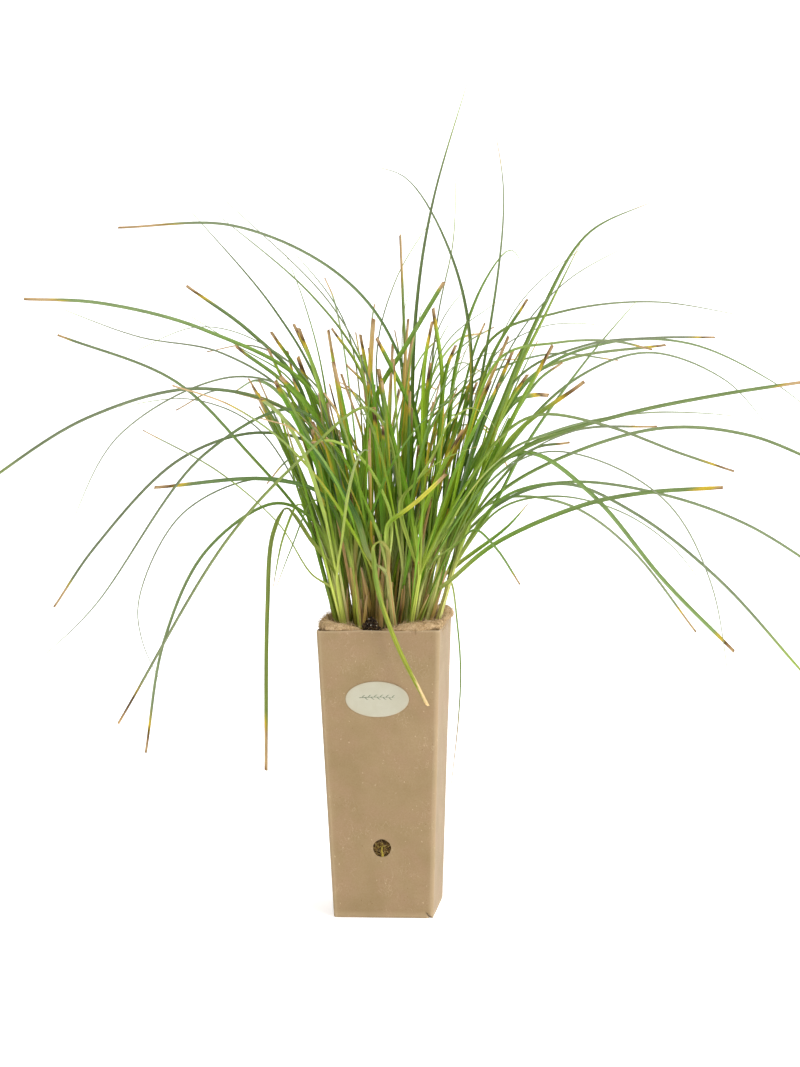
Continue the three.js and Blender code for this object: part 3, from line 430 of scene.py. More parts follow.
def row_leaves(row, shoots):
    """The leaf of a row on each of the shoots that suit it, the best one first."""
    width, end, foot_across, foot_into, tip_into, line, tone, tip, dried = row

    def cost(shoot):
        return ((shoot["across"] - foot_across) ** 2 + (shoot["into"] - foot_into) ** 2
                + CROWDING * shoot["leaves"] ** 2)

    near = sorted((s for s in shoots if s["dry"] == (end == "D")), key=cost)[:FOOT_CHOICES]
    count = len(line) // 2
    passes = [clump_point(line[2 * k], foot_into + (tip_into - foot_into) * (k + 1) / count,
                          line[2 * k + 1]) for k in range(count)]
    leave = min(max(passes[0][2] - LEAF["below"], LEAF["leave_low"]), LEAF["leave_high"])
    return [dict(shoot=shoot, width=width, end=end, points=leaf_root(shoot, leave) + passes,
                 segments=4 if count < 3 else 4 + count, facing=width >= LEAF["facing_width"],
                 tone=tone, tip=tip, dried=dried) for shoot in near]


def grown_leaf(shoot, draws):
    """A leaf that grows out from its shoot by draws alone, arching over or short."""
    arching = next(draws) < ARCHING_SHARE
    fan, length, lean, droop, width, leave = (next(draws) for _ in range(6))
    to_front = shoot["into"] < 0
    kind = SHORT
    outward = math.degrees(shoot["angle"])
    if arching:
        kind = ARCHING_TO_FRONT if to_front else ARCHING
        outward = -90 if to_front else 90

    heads = math.radians(outward + kind["fan"] * (fan - 0.5))
    stride = between(kind["length"], length) / kind["bends"]
    lean = shoot["lean"] * LEAN_KEPT + between(kind["lean"], lean)
    droop = between(kind["droop"], droop)
    points = leaf_root(shoot, LEAF["leave_low"] + LEAF["below"] / 2
                       + (LEAF["leave_high"] - LEAF["leave_low"]) * leave)
    for k in range(kind["bends"]):
        tilt = math.radians(lean + droop * ((k + 0.5) / kind["bends"]) ** DROOP_POWER)
        aside = stride * math.sin(tilt)
        step = clump_point(aside * math.cos(heads), aside * math.sin(heads),
                           stride * math.cos(tilt))
        points.append(points[-1] + step)
    alive = "P" if arching and leave < POINTED_SHARE else "C"
    return dict(shoot=shoot, points=points, width=between(kind["width"], width),
                end="D" if shoot["dry"] else alive, segments=kind["segments"], facing=False)


def lay_leaves(shoots):
    """Lays the rows, then grows leaves on shoots that have few, each clear of the others."""
    draws = seeded_random(SEED + 2)
    taken = Taken()
    leaves = []

    def settles(leaf):
        path, line = bend_clear(leaf, taken)
        if path is None:
            return False
        leaf["shoot"]["leaves"] += 1
        leaf["line"] = line
        taken.add(leaf["shoot"], path, leaf["width"])
        leaves.append(leaf)
        return True

    for shoot in shoots:
        stem = np.array((shoot_axis(shoot, SHOOT["foot"]), shoot_axis(shoot, shoot["top"])))
        taken.add(shoot, stem, SHOOT["width"])
    for row in LEAF_ROWS:
        any(settles(leaf) for leaf in row_leaves(row, shoots))
    for shoot in shoots:
        in_front = shoot["number"] == FRONT["shoot"]
        missing = 0 if in_front else max(LEAVES_PER_SHOOT - shoot["leaves"], 1)
        grown = 0
        for _ in range(3 * missing):
            if grown < missing:
                grown += settles(grown_leaf(shoot, draws))
    return leaves


# ---- closed bodies
def lofted_faces(rings, size):
    """Faces of a closed body through rings of equal size."""
    faces = []
    for first in range(0, (rings - 1) * size, size):
        for k in range(size):
            n = (k + 1) % size
            faces.append((first + k, first + n, first + size + n, first + size + k))
    faces.append(tuple(range(size - 1, -1, -1)))
    faces.append(tuple(range((rings - 1) * size, rings * size)))
    return faces


def linked_object(name, data):
    piece = bpy.data.objects.new(name, data)
    bpy.context.scene.collection.objects.link(piece)
    return piece


def fix_piece(piece, node=None):
    """Fixes a piece to the one body, and in place of a node if one is named."""
    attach(piece, "root")
    if node:
        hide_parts(node)
    return piece


def smooth(mesh, sharp):
    """Smooth shading, but for edges sharper than so many degrees."""
    mesh.shade_smooth()
    mesh.set_sharp_from_angle(angle=math.radians(sharp))


def worn_object(name, points, faces, wear, material):
    """A body whose card or paper is worn by so much at each point, which on the card's folds also
    paints a highlight.
    """
    mesh = bpy.data.meshes.new(name)
    mesh.from_pydata(np.array(points) * MM, [], faces)
    mesh.attributes.new("wear", "FLOAT", "POINT").data.foreach_set("value", wear)
    mesh.materials.append(material)
    return linked_object(name, mesh)


def apply_modifier(piece, kind, **settings):
    modifier = piece.modifiers.new(kind, kind)
    for key, value in settings.items():
        setattr(modifier, key, value)
    bpy.context.view_layer.objects.active = piece
    bpy.ops.object.modifier_apply(modifier=modifier.name)


class Skin:
    """Closed strips and crumbs, gathered into one mesh with a tint and a grain.

    The grain of a vertex is its place across its blade from -1 to 1, its length along it
    in millimetres, and the blade's own number."""

    def __init__(self):
        self.points = []
        self.faces = []
        self.tints = []
        self.grains = []
        self.count = 0

    def add(self, points, faces, tints, grains):
        points = np.asarray(points, float).reshape(-1, 3)
        self.faces.extend([tuple(int(i) + self.count for i in face) for face in faces])
        self.points.append(points)
        self.tints.append(np.broadcast_to(np.asarray(tints, float), points.shape))
        self.grains.append(np.broadcast_to(np.asarray(grains, float), points.shape))
        self.count += len(points)

    def loft(self, rings, tints, grains):
        """A closed body through rings of equal size."""
        rings = np.asarray(rings, float)
        self.add(rings, lofted_faces(*rings.shape[:2]),
                 np.broadcast_to(tints, rings.shape).reshape(-1, 3),
                 np.broadcast_to(grains, rings.shape).reshape(-1, 3))

    def build(self, name, material, sharp=40, node=None):
        mesh = bpy.data.meshes.new(name)
        mesh.from_pydata(np.concatenate(self.points) * MM, [], self.faces)
        colours = np.ones((self.count, 4))
        colours[:, :3] = np.concatenate(self.tints)
        tint = mesh.color_attributes.new("tint", "FLOAT_COLOR", "POINT")
        tint.data.foreach_set("color", colours.ravel())
        grain = mesh.attributes.new("grain", "FLOAT_VECTOR", "POINT")
        grain.data.foreach_set("vector", np.concatenate(self.grains).ravel())
        smooth(mesh, sharp)
        mesh.materials.append(material)
        fix_piece(linked_object(name, mesh), node)


def unit(vectors):
    return vectors / np.maximum(np.linalg.norm(vectors, axis=-1, keepdims=True), 1e-9)


def carried_sides(path, side):
    """Carries a side vector along a path without twisting it."""
    along = unit(np.gradient(path, axis=0))
    sides = []
    for direction in along:
        side = unit(side - direction * np.dot(side, direction))
        sides.append(side)
    return along, np.array(sides)


# ---- blades
BLADE_STEP = 9  # millimetres between rings on a straight stretch
BEND_STEP = 0.22  # radians between rings where a leaf bends
TIP_STATIONS = (0, 0.8, 1.8, 3, 4.5, 6.5, 9, 12, 16, 21, 27, 34)  # denser where tips dry
# The section of a blade: across in half widths, lift in folds, and how many thicknesses it
# lies below the upper face.
SECTION = np.array((
    (-1, 0.5, 0), (-0.52, 0.06, 0), (0, -0.5, 0), (0.52, 0.06, 0),
    (1, 0.5, 0), (0.54, 0.02, 0.8), (0, -0.56, 1.5), (-0.54, 0.02, 0.8),
))
ACROSS = SECTION[:, 0]
THICK = 0.34
FOLD = dict(blade=0.26, base=0.42, flatter=0.3)
BASE = dict(width=3.7, offsets=(1.15, 0.25), foot=4, rings=5, gather=34, stands_off=55,
            aims_at=70, most_turn=1.2)
SHRINK = 0.14  # how much a dried tip narrows
WAVE = 0.35  # radians
STRAIN = dict(start=0.05, over=0.15)  # from where a flat gives way to a sharp bend
FACING_FROM = 24  # millimetres above the sheath where a facing leaf has turned
TURNED_AT = 0.4  # the share of its length where another leaf has turned
CUT = dict(slant=0.7, ragged=0.25)
# The heart ends so far beside the axis and above the soil, and over so many millimetres
# more a leaf is painted paler and greyer, a painted sheen of the bright surroundings, but for a
# share that wide leaves keep.
HEART = dict(beside=55, beside_over=125, above=175, above_over=140)
SKY_SHEEN = dict(most=0.9, kept=0.5, width=1.9, over=1.1)
# The yellowed stretch of a leaf, in shares of its length.
YELLOWED = dict(middle=0.25, most=0.95, start_over=0.12, length=0.4, end_over=0.15, near=2.5)
PALE = dict(top=62, over=92)  # millimetres of pale sheath, and over what it turns green
STAIN = dict(top=8, over=7, most=0.5)  # of the soil on the sheaths
# How grown leaves are dressed, and millimetres of dried tip.
DRESS = dict(light=(0.8, 1.13), shade=(0.93, 1.07), skew=(-0.22, 0.22), yellowing=0.34,
             yellow_from=(0.25, 0.6), dead=0.3, rolled=0.7)
DRIED = dict(dry=(30, 75), living=(8, 26), dead=(80, 150))


def smooth_step(value):
    value = np.clip(value, 0, 1)
    return value * value * (3 - 2 * value)


def ring_places(line):
    """Where rings stand along a leaf: closer where it bends, and near its tip."""
    lengths = lengths_along(line)
    turns = np.linalg.norm(np.diff(unit(np.gradient(line, axis=0)), axis=0), axis=1)
    effort = lengths / BLADE_STEP + np.concatenate(([0.0], np.cumsum(turns))) / BEND_STEP
    body = np.interp(np.linspace(0, effort[-1], int(effort[-1]) + 2), effort, lengths)
    body = body[body < max(lengths[-1] - TIP_STATIONS[-1], 1)]
    tips = lengths[-1] - np.array(TIP_STATIONS)
    return np.unique(np.concatenate((body, tips[tips > body[-1] + 1])))


def blade_widths(width, end, share):
    swell = between((BLADE["foot_width"], 1), np.clip(share / BLADE["full_at"], 0, 1))
    if end == "P":
        past = np.maximum(0, (share - BLADE["point_from"]) / (1 - BLADE["point_from"]))
        return width * swell * np.maximum(1 - (1 - BLADE["point"]) * past ** 1.8, BLADE["point"])
    past = np.maximum(0, (share - BLADE["cut_from"]) / (1 - BLADE["cut_from"]))
    return width * swell * (1 - BLADE["cut_narrowing"] * past)


def turns_to_front(along, sides, normals, places, widths):
    """Turns about a path that show a blade's flat to the front, without a sudden twist.

    Where the path bends too sharply within the flat, the blade bends over its flat instead."""
    flats = unit(np.cross(along, clump_point(0, -1, 0)))
    bends = np.gradient(along, places, axis=0)
    strain = np.abs((bends * flats).sum(axis=1)) * widths / 2
    natural = unit(np.cross(along, bends))
    for k in range(1, len(natural)):
        natural[k] *= math.copysign(1, np.dot(natural[k], natural[k - 1]))
    amount = smooth_step((strain - STRAIN["start"]) / STRAIN["over"])[:, None]
    flats = flats * (1 - amount) + natural * amount
    turns = np.arctan2((flats * normals).sum(axis=1), (flats * sides).sum(axis=1))
    turns = np.unwrap(turns, period=math.pi)
    turns -= math.pi * round(turns[0] / math.pi)
    return np.convolve(np.pad(turns, 2, mode="edge"), np.full(5, 0.2), mode="valid")


def blade_frame(path, places, widths, base_side, side, random, facing):
    """A blade's direction, the direction of its width and that of its lift at each place.

    It turns from base_side at its foot to side further on, or to the front."""
    along, sides = carried_sides(path, np.array((side[0], side[1], 0.0)))
    normals = np.cross(along, sides)
    turn_home = math.atan2(np.dot(base_side, normals[0]), np.dot(base_side, sides[0]))
    if abs(turn_home) > math.pi / 2:
        sides = -sides
        normals = -normals
        turn_home -= math.copysign(math.pi, turn_home)
    share = places / places[-1]
    phase = share * random.uniform(0.5, 1.4) + random.uniform(0, 1)
    wave = WAVE * np.sin(2 * math.pi * phase)
    if facing:
        ease = smooth_step(places / FACING_FROM)
        wave = 0.5 * wave + turns_to_front(along, sides, normals, places, widths)
    else:
        ease = smooth_step(share / TURNED_AT)
    turns = (turn_home * (1 - ease) + wave * ease)[:, None]
    return (along, sides * np.cos(turns) + normals * np.sin(turns),
            normals * np.cos(turns) - sides * np.sin(turns))


def grain_of(across, places, number):
    grains = np.empty((len(places), len(across), 3))
    grains[..., 0] = across
    grains[..., 1] = places[:, None]
    grains[..., 2] = number
    return grains


def add_blade(skin, path, places, widths, folds, base_side, side, tints, number, random,
              cut=True, facing=False):
    """A folded blade along a path."""
    along, across, lifts = blade_frame(path, places, widths, base_side, side, random, facing)
    thick = np.minimum(THICK, 0.25 * widths + 0.1)
    rings = (path[:, None]
             + across[:, None] * (SECTION[None, :, :1] * widths[:, None, None] / 2)
             + lifts[:, None] * (SECTION[None, :, 1:2] * (folds * widths)[:, None, None]
                                 - SECTION[None, :, 2:] * thick[:, None, None]))
    if cut:
        slant = random.uniform(-CUT["slant"], CUT["slant"])
        ragged = random.uniform(-CUT["ragged"], CUT["ragged"], (len(SECTION), 1))
        rings[-1] += along[-1] * (SECTION[:, :1] * slant * widths[-1] / 2 + ragged)
    skin.loft(rings, tints, grain_of(ACROSS, places, number))


def blend_tones(spots, places, colours):
    """The colour at each spot, blended between colours at given places."""
    return np.stack([np.interp(spots, places, part) for part in zip(*colours)], axis=-1)


def tip_tones(tone, leaf, from_tip):
    """The tone at each distance from a leaf's tip, with its own tone where it is sound."""
    places = [leaf["dried"] * place for place, _ in TIPS[leaf["tip"]]]
    colours = [TONES[name] if name else tone for _, name in TIPS[leaf["tip"]]]
    return blend_tones(from_tip, places, colours)


def away_from_heart(path):
    """How far out places lie: 0 where the plant's heart ends, and 1 far out."""
    aside = (np.linalg.norm(path[:, :2], axis=1) - HEART["beside"]) / HEART["beside_over"]
    upwards = (path[:, 2] - SOIL_TOP - HEART["above"]) / HEART["above_over"]
    return np.maximum(aside, upwards)


def yellow_share(leaf, share, away):
    """How far a leaf has yellowed: one stretch of it, along one edge, near the heart."""
    side = leaf["yellow_side"]
    start = leaf["yellow_from"]
    edge = np.clip(YELLOWED["middle"] + ACROSS[None] * side, 0, 1) * YELLOWED["most"] * abs(side)
    return (edge * smooth_step((share - start) / YELLOWED["start_over"])
            * smooth_step((start + YELLOWED["length"] - share) / YELLOWED["end_over"])
            * np.clip(1 - YELLOWED["near"] * away, 0, 1)[:, None])[..., None]


def leaf_tints(leaf, places, path, base_tone):
    """Pale at the sheath, the leaf's tone further up, painted paler and greyer far out as a painted
    sheen, then its dried tip.
    """
    away = away_from_heart(path)
    kept = SKY_SHEEN["kept"] * np.clip((leaf["width"] - SKY_SHEEN["width"]) / SKY_SHEEN["over"], 0, 1)
    # Far out from the heart the tone is painted paler and greyer, a painted sheen of the bright
    # surroundings; the heart keeps its deeper tone.
    sky_sheen = np.clip(away, 0, SKY_SHEEN["most"])[:, None] * (1 - kept)
    tone = np.asarray(leaf["shade"]) * (1 - sky_sheen) + np.array(SKY_SHEEN_TONE) * leaf["light"] * sky_sheen
    yellow = yellow_share(leaf, (places / places[-1])[:, None], away)
    tone = tone[:, None] * (1 - yellow) + np.array(TONES["gold"]) * yellow
    from_tip = (places[-1] - places)[:, None] + leaf["skew"] * leaf["dried"] * ACROSS[None]
    dry = tip_tones(np.zeros(3), leaf, from_tip)
    tints = dry + (tip_tones(np.ones(3), leaf, from_tip) - dry) * tone
    pale = smooth_step((PALE["top"] - places) / PALE["over"])[:, None, None]
    tints = tints * (1 - pale) + np.array(TONES[base_tone]) * leaf["light"] * pale
    in_soil = smooth_step((SOIL_TOP + STAIN["top"] - path[:, 2]) / STAIN["over"]) * (places < 0)
    stain = in_soil[:, None, None] * STAIN["most"]
    return tints * (1 - stain) + np.array(TONES["bark"]) * stain


def tip_shrink(leaf, places):
    from_tip = places[-1] - places
    dry_length = leaf["dried"] * DRIED_AT[leaf["tip"]]
    return 1 - SHRINK * smooth_step(1 - (from_tip - dry_length * 0.7) / (dry_length * 0.6 + 1))


def sheath_side(leaf, rank, blade):
    """Which way a sheath lies out from its shoot's axis: round it, but near the leaf's own."""
    shoot = leaf["shoot"]
    length = lengths_along(leaf["line"])[-1]
    ahead = resample(leaf["line"], [min(BASE["aims_at"], length)])[0] - blade[0]
    away = math.atan2(ahead[1], ahead[0])
    own = shoot["twist"] + rank * 4 * math.pi / 3 * shoot["leaves"]
    off = (own - away + math.pi) % (2 * math.pi) - math.pi
    turn = away + np.clip(off, -BASE["most_turn"], BASE["most_turn"])
    return np.array((math.cos(turn), math.sin(turn), 0))


def leaf_widths(leaf, places, gather, random):
    """The widths of a leaf, with the sheath's where it gathers round the shoot."""
    widths = blade_widths(leaf["width"], leaf["end"], np.maximum(places, 0) / places[-1])
    widths = widths * between((leaf["rolled"], 1), smooth_step(1 - places / 60))
    sheath = BASE["width"] * random.uniform(0.85, 1.1)
    widths = widths + np.maximum(sheath - widths, 0) * gather
    return widths if leaf["end"] == "P" else widths * tip_shrink(leaf, places)


def add_leaf(skin, leaf, rank, number, random):
    """A leaf from its sheath in the soil to its tip. rank runs from 0, the outermost, to 1."""
    shoot = leaf["shoot"]
    past = ring_places(leaf["line"])
    blade = resample(leaf["line"], past)
    leave = blade[0, 2]
    levels = np.linspace(SOIL_TOP - BASE["foot"], leave, BASE["rings"] + 1)[:-1]
    places = np.concatenate((levels - leave, past))
    out = sheath_side(leaf, rank, blade)
    offsets = between(BASE["offsets"], rank) * smooth_step(1 - places / BASE["stands_off"])
    path = np.vstack(([shoot_axis(shoot, z) for z in levels], blade)) + out * offsets[:, None]
    depth = leave - levels[0]
    gather = smooth_step(1 - (places + depth) / (depth + BASE["gather"]))
    widths = leaf_widths(leaf, places, gather, random)
    folds = (FOLD["blade"] * random.uniform(0.8, 1.2)
             * (1 - FOLD["flatter"] * np.maximum(places, 0) / places[-1]))
    folds = folds + (FOLD["base"] - folds) * gather
    turn = shoot["twist"] + 1.3 * leaf["width"]
    if leaf["facing"]:
        turn = math.radians(CLUMP_TURN)
    base_tone = shoot["base_tone"]
    if rank == 0 and random.random() < 0.4:
        base_tone = "husk"
    tints = leaf_tints(leaf, places, path, base_tone)
    add_blade(skin, path, places, widths, folds, np.array((-out[1], out[0], 0)),
              (math.cos(turn), math.sin(turn)), tints, number, random,
              cut=leaf["end"] != "P", facing=leaf["facing"])


def dress_grown_leaf(leaf, random):
    """Gives a leaf that has grown by the rule its tone and tip."""
    dry = leaf["shoot"]["dry"]
    dead = dry and random.random() < DRESS["dead"]
    leaf["tone"] = str(random.choice(GROWN_TONES))
    tips = GROWN_POINTED_TIPS if leaf["end"] == "P" else GROWN_CUT_TIPS
    leaf["tip"] = str(random.choice(tips))
    leaf["dried"] = random.uniform(*DRIED["dry" if dry else "living"])
    if dead:
        leaf.update(tip="withered", dried=random.uniform(*DRIED["dead"]), rolled=DRESS["rolled"])
    elif dry:
        leaf["tip"] = "tan"


def dress_leaf(leaf, random):
    """Shades every leaf a little, skews where its tip dries, and lets some yellow."""
    leaf["rolled"] = 1
    if "tone" not in leaf:
        dress_grown_leaf(leaf, random)
    leaf["light"] = random.uniform(*DRESS["light"])
    leaf["skew"] = random.uniform(*DRESS["skew"])
    yellowing = random.random() < DRESS["yellowing"]
    leaf["yellow_side"] = random.choice((-1, 1)) if yellowing else 0
    leaf["yellow_from"] = random.uniform(*DRESS["yellow_from"])
    shade = random.uniform(*DRESS["shade"], 3)
    leaf["shade"] = np.array(TONES[leaf["tone"]]) * leaf["light"] * shade


# ---- stems, young leaves and stalks
STEM_SIDES = 12
BARE_FRONT = dict(left=-16, right=20, into=-31)
CORE = 0.56  # the core's share of the shoot's own width
STRIP_RINGS = 11
STRIP_TAPER = ((0, 0.1, 0.7, 1), (1, 1, 0.85, 0.45))  # shares of the length, and of the width
MAT_OVAL = (40.5, 36.2)
CROWN_EDGE = 27  # further across than this, most stalks are left out
STALKS = dict(dry=7, living=3, reach=(1.8, 4.0), short=(24, 62), long=(62, 115), spread=0.08,
              width=(1.8, 3.9), fold=(0.2, 0.4))
YOUNG = dict(dry=1, living=2, reach=(1.2, 3.2), length=(75, 185), spread=0.07,
             width=(1.8, 3.6), fold=(0.22, 0.32), bow=(0, 0.25))


def stem_reach(shoot, z, angles):
    """Reach of the flat stem from its axis, in each direction."""
    height = np.clip((z - SHOOT["ground"]) / (shoot["top"] - SHOOT["ground"]), 0, 1)
    size = 1 - (1 - SHOOT["taper"]) * height
    a = angles - shoot["twist"]
    return size / np.sqrt((np.cos(a) * 2 / SHOOT["width"]) ** 2
                          + (np.sin(a) * 2 / SHOOT["depth"]) ** 2)


def add_core(skin, shoot, number, random):
    """The heart of a shoot, which shows only between its sheaths and closes at its top."""
    top = shoot["top"] - 6
    levels = np.concatenate((np.linspace(SOIL_TOP - 6, top - 10, 6), (top - 5, top - 2, top)))
    closing = np.concatenate((np.ones(6), (0.8, 0.5, 0.1)))
    angles = np.arange(STEM_SIDES) * 2 * math.pi / STEM_SIDES
    round_axis = np.stack((np.cos(angles), np.sin(angles), np.zeros(STEM_SIDES)), axis=1)
    rings = []
    for z, close in zip(levels, closing):
        reach = stem_reach(shoot, z, angles) * close * CORE
        rings.append(reach[:, None] * round_axis + shoot_axis(shoot, z))
    part = smooth_step((levels - SOIL_TOP) / 40)[:, None]
    top_tone = np.array(TONES["husk" if shoot["dry"] else "stalk"])
    tints = np.array(TONES["bark"]) * (1 - part) + top_tone * part
    skin.loft(rings, (tints * random.uniform(0.6, 0.9))[:, None],
              grain_of(np.sin(angles), levels, number))


def hides_front(path):
    """Whether a strip would stand before the tiller that stands free in front."""
    u, v = clump_place(path)
    inside = (u > BARE_FRONT["left"]) & (u < BARE_FRONT["right"]) & (v < BARE_FRONT["into"])
    return bool(inside.any())


def add_strip(skin, foot, aim, bow, length, width, fold, tones, number, random):
    """A free strip from the soil: aim is its direction, bow bends it, tones run up it."""
    part = np.linspace(0, 1, STRIP_RINGS)
    path = foot + np.outer(part * length, aim) + np.outer(part ** 2 * length, bow)
    if hides_front(path):
        return
    widths = width * np.interp(part, *STRIP_TAPER)
    tints = blend_tones(part, np.linspace(0, 1, len(tones)), [TONES[tone] for tone in tones])
    turn = random.uniform(0, 2 * math.pi)
    side = np.array((math.cos(turn), math.sin(turn), 0))
    add_blade(skin, path, part * length, widths, np.full(STRIP_RINGS, fold), side, side[:2],
              tints[:, None] * random.uniform(0.75, 1.15), number, random)


STALK_TONES = (("bark", "husk", "tan"), ("bark", "husk", "husk"), ("bark", "straw", "tan"),
               ("bark", "olive", "husk"), ("husk", "straw", "tan"), ("bark", "umber", "husk"))
YOUNG_TONES = (("sheath", "stalk", "mid", "mid", "tan"),
               ("stalk", "mid", "bright", "bright", "umber"),
               ("husk", "sheath", "lime", "lime", "gold"),
               ("stalk", "mid", "mid", "lime", "lime"), ("sheath", "lime", "lime", "mid", "mid"))


def free_foot(shoot, reach, random):
    turn = random.uniform(0, 2 * math.pi)
    return shoot_axis(shoot, SOIL_TOP - 2) + np.array((math.cos(turn), math.sin(turn), 0)) * reach


def in_oval(u, v, half_u, half_v):
    """Whether a place lies in a squarish oval round the clump's middle."""
    return (abs(u) / half_u) ** 2.6 + (abs(v) / half_v) ** 2.6 <= 1


def inside_mat(place):
    """Whether a foot stands in the oval that the mat leaves round the crown."""
    return in_oval(*clump_place(place), *MAT_OVAL)


def one_of(choices, random):
    return choices[int(random.integers(len(choices)))]


def own_aim(shoot, spread, random):
    aim = np.array((shoot["slope_across"], shoot["slope_into"], 1.0))
    aim[:2] += random.normal(0, spread, 2)
    return unit(clump_point(*aim))


def add_stalks(skin, shoot, number, random):
    """Dead sheaths and torn stalks that stand close round a shoot."""
    edge = abs(shoot["across"]) > CROWN_EDGE
    for k in range(STALKS["dry" if shoot["dry"] else "living"]):
        foot = free_foot(shoot, random.uniform(*STALKS["reach"]), random)
        if not inside_mat(foot) or (edge and random.random() < 0.6):
            continue
        length = random.uniform(*STALKS["short" if random.random() < 0.75 else "long"])
        aim = own_aim(shoot, STALKS["spread"], random)
        bow = random.normal(0, 0.06, 3) * (1, 1, 0.2)
        add_strip(skin, foot, aim, bow, length, random.uniform(*STALKS["width"]),
                  random.uniform(*STALKS["fold"]), one_of(STALK_TONES, random),
                  number + 0.05 * k, random)


def add_young(skin, shoot, number, random):
    """Narrow leaves that rise beside a shoot."""
    for k in range(YOUNG["dry" if shoot["dry"] else "living"]):
        foot = free_foot(shoot, random.uniform(*YOUNG["reach"]), random)
        if not inside_mat(foot):
            continue
        aim = own_aim(shoot, YOUNG["spread"], random)
        bow = np.array((aim[0], aim[1], 0)) * random.uniform(*YOUNG["bow"])
        add_strip(skin, foot, aim, bow, random.uniform(*YOUNG["length"]),
                  random.uniform(*YOUNG["width"]), random.uniform(*YOUNG["fold"]),
                  one_of(YOUNG_TONES, random), number + 0.07 * k, random)


# ---- materials
class Paint:
    """A material, with its node tree written in a few words."""

    def __init__(self, name):
        self.material = bpy.data.materials.new(name)
        self.material.use_nodes = True
        self.tree = self.material.node_tree
        self.shader = self.tree.nodes["Principled BSDF"]

    def feed(self, socket, value):
        if isinstance(value, bpy.types.NodeSocket):
            self.tree.links.new(value, socket)
        else:
            socket.default_value = value

    def made(self, kind, output, inputs, **settings):
        """Makes a node, feeds its inputs, and gives back one of its outputs."""
        node = self.tree.nodes.new("ShaderNode" + kind)
        for key, value in settings.items():
            setattr(node, key, value)
        for key, value in inputs.items():
            self.feed(node.inputs[key], value)
        return node.outputs[output]

    def set(self, **values):
        """Feeds the shader, with each input's name written with _ for a space."""
        for key, value in values.items():
            self.feed(self.shader.inputs[key.replace("_", " ")], value)

    def attribute(self, name, output="Vector"):
        return self.made("Attribute", output, {}, attribute_name=name)

    def place(self):
        return self.made("TexCoord", "Object", {})

    def first(self, vector):
        """The first part of a vector."""
        return self.made("SeparateXYZ", 0, {0: vector})

    def stretch(self, vector, scale, offset=(0, 0, 0)):
        return self.made("Mapping", "Vector", {"Vector": vector, "Scale": scale,
                                               "Location": offset})

    def noise(self, vector, scale, detail=2, rough=0.5, distort=0, output="Fac"):
        return self.made("TexNoise", output, {"Vector": vector, "Scale": scale, "Detail": detail,
                                              "Roughness": rough, "Distortion": distort})

    def ragged(self, vector, scale, reach):
        """A place pushed about by noise, so that what is drawn by it has ragged edges."""
        push = self.noise(vector, scale, output="Color")
        return self.made("VectorMath", "Vector", {0: push, 1: (reach, reach, reach), 2: vector},
                         operation="MULTIPLY_ADD")

    def cells(self, vector, scale, output="Distance"):
        return self.made("TexVoronoi", output, {"Vector": vector, "Scale": scale})

    def math(self, operation, first, second=0):
        return self.made("Math", 0, {0: first, 1: second}, operation=operation)

    def ramp(self, value, low, high, to_low=0, to_high=1):
        return self.made("MapRange", "Result", {"Value": value, "From Min": low, "From Max": high,
                                                "To Min": to_low, "To Max": to_high}, clamp=True)

    def mix(self, amount, first, second, blend="MIX"):
        a, b = (colour if isinstance(colour, bpy.types.NodeSocket) else (*colour, 1)
                for colour in (first, second))
        return self.made("Mix", "Result", {"Factor": amount, "A": a, "B": b},
                         data_type="RGBA", blend_type=blend)

    def over(self, body, mask, amount, colour):
        """A body with a colour laid over it, by an amount, where a mask shows."""
        return self.mix(self.math("MULTIPLY", mask, amount), body, colour)

    def scaled(self, colour, value):
        """A colour made darker or lighter by a value."""
        return self.made("VectorMath", "Vector", {0: colour, "Scale": value}, operation="SCALE")

    def bump(self, height, strength, millimetres):
        self.set(Normal=self.made("Bump", "Normal", {"Strength": strength, "Height": height,
                                                     "Distance": millimetres * MM}))

    def translucent(self, colour, amount):
        through = self.made("BsdfTranslucent", 0, {"Color": colour})
        mixed = self.made("MixShader", 0, {0: amount, 1: self.shader.outputs[0], 2: through})
        self.feed(self.tree.nodes["Material Output"].inputs["Surface"], mixed)


def leaf_material(name, roughness, through):
    paint = Paint(name)
    grain = paint.attribute("grain")
    veins = paint.noise(paint.stretch(grain, (7, 0.02, 3.1)), 1, 2, 0.6)
    mottle = paint.noise(paint.stretch(grain, (0.6, 0.09, 5.3)), 1, 3, 0.6)
    from_rib = paint.math("ABSOLUTE", paint.first(grain))
    rib = paint.ramp(from_rib, 0.02, 0.12, 0.35, 0)
    edge = paint.ramp(from_rib, 0.8, 1, 0, 0.3)
    shade = paint.math("MULTIPLY", paint.ramp(veins, 0.3, 0.7, 0.8, 1.18),
                       paint.ramp(mottle, 0.3, 0.7, 0.86, 1.12))
    body = paint.scaled(paint.attribute("tint", "Color"), shade)
    body = paint.mix(rib, body, linear(176, 188, 92))
    body = paint.mix(edge, body, linear(160, 162, 70))
    body = paint.over(body, paint.ramp(mottle, 0.66, 0.76), 0.45, linear(146, 122, 62))
    paint.set(Base_Color=body, Specular_IOR_Level=0.3,
              Roughness=paint.ramp(veins, 0.3, 0.7, roughness - 0.06, roughness + 0.08))
    paint.bump(veins, 0.5, 0.15)
    paint.translucent(paint.mix(1, body, (1.3, 1.5, 0.4), "MULTIPLY"), through)
    return paint.material


# Flecks in the card: how many a metre, how wide in shares of their spacing, the share that
# is left out, their colour, and how strongly they show.
CARD_FLECKS = (
    (330, 0.16, 0.80, linear(206, 184, 148), 0.55),
    (58, 0.095, 0.80, linear(208, 188, 152), 0.6),
    (420, 0.16, 0.76, linear(128, 100, 66), 0.5),
    (150, 0.07, 0.70, linear(112, 86, 56), 0.55),
)


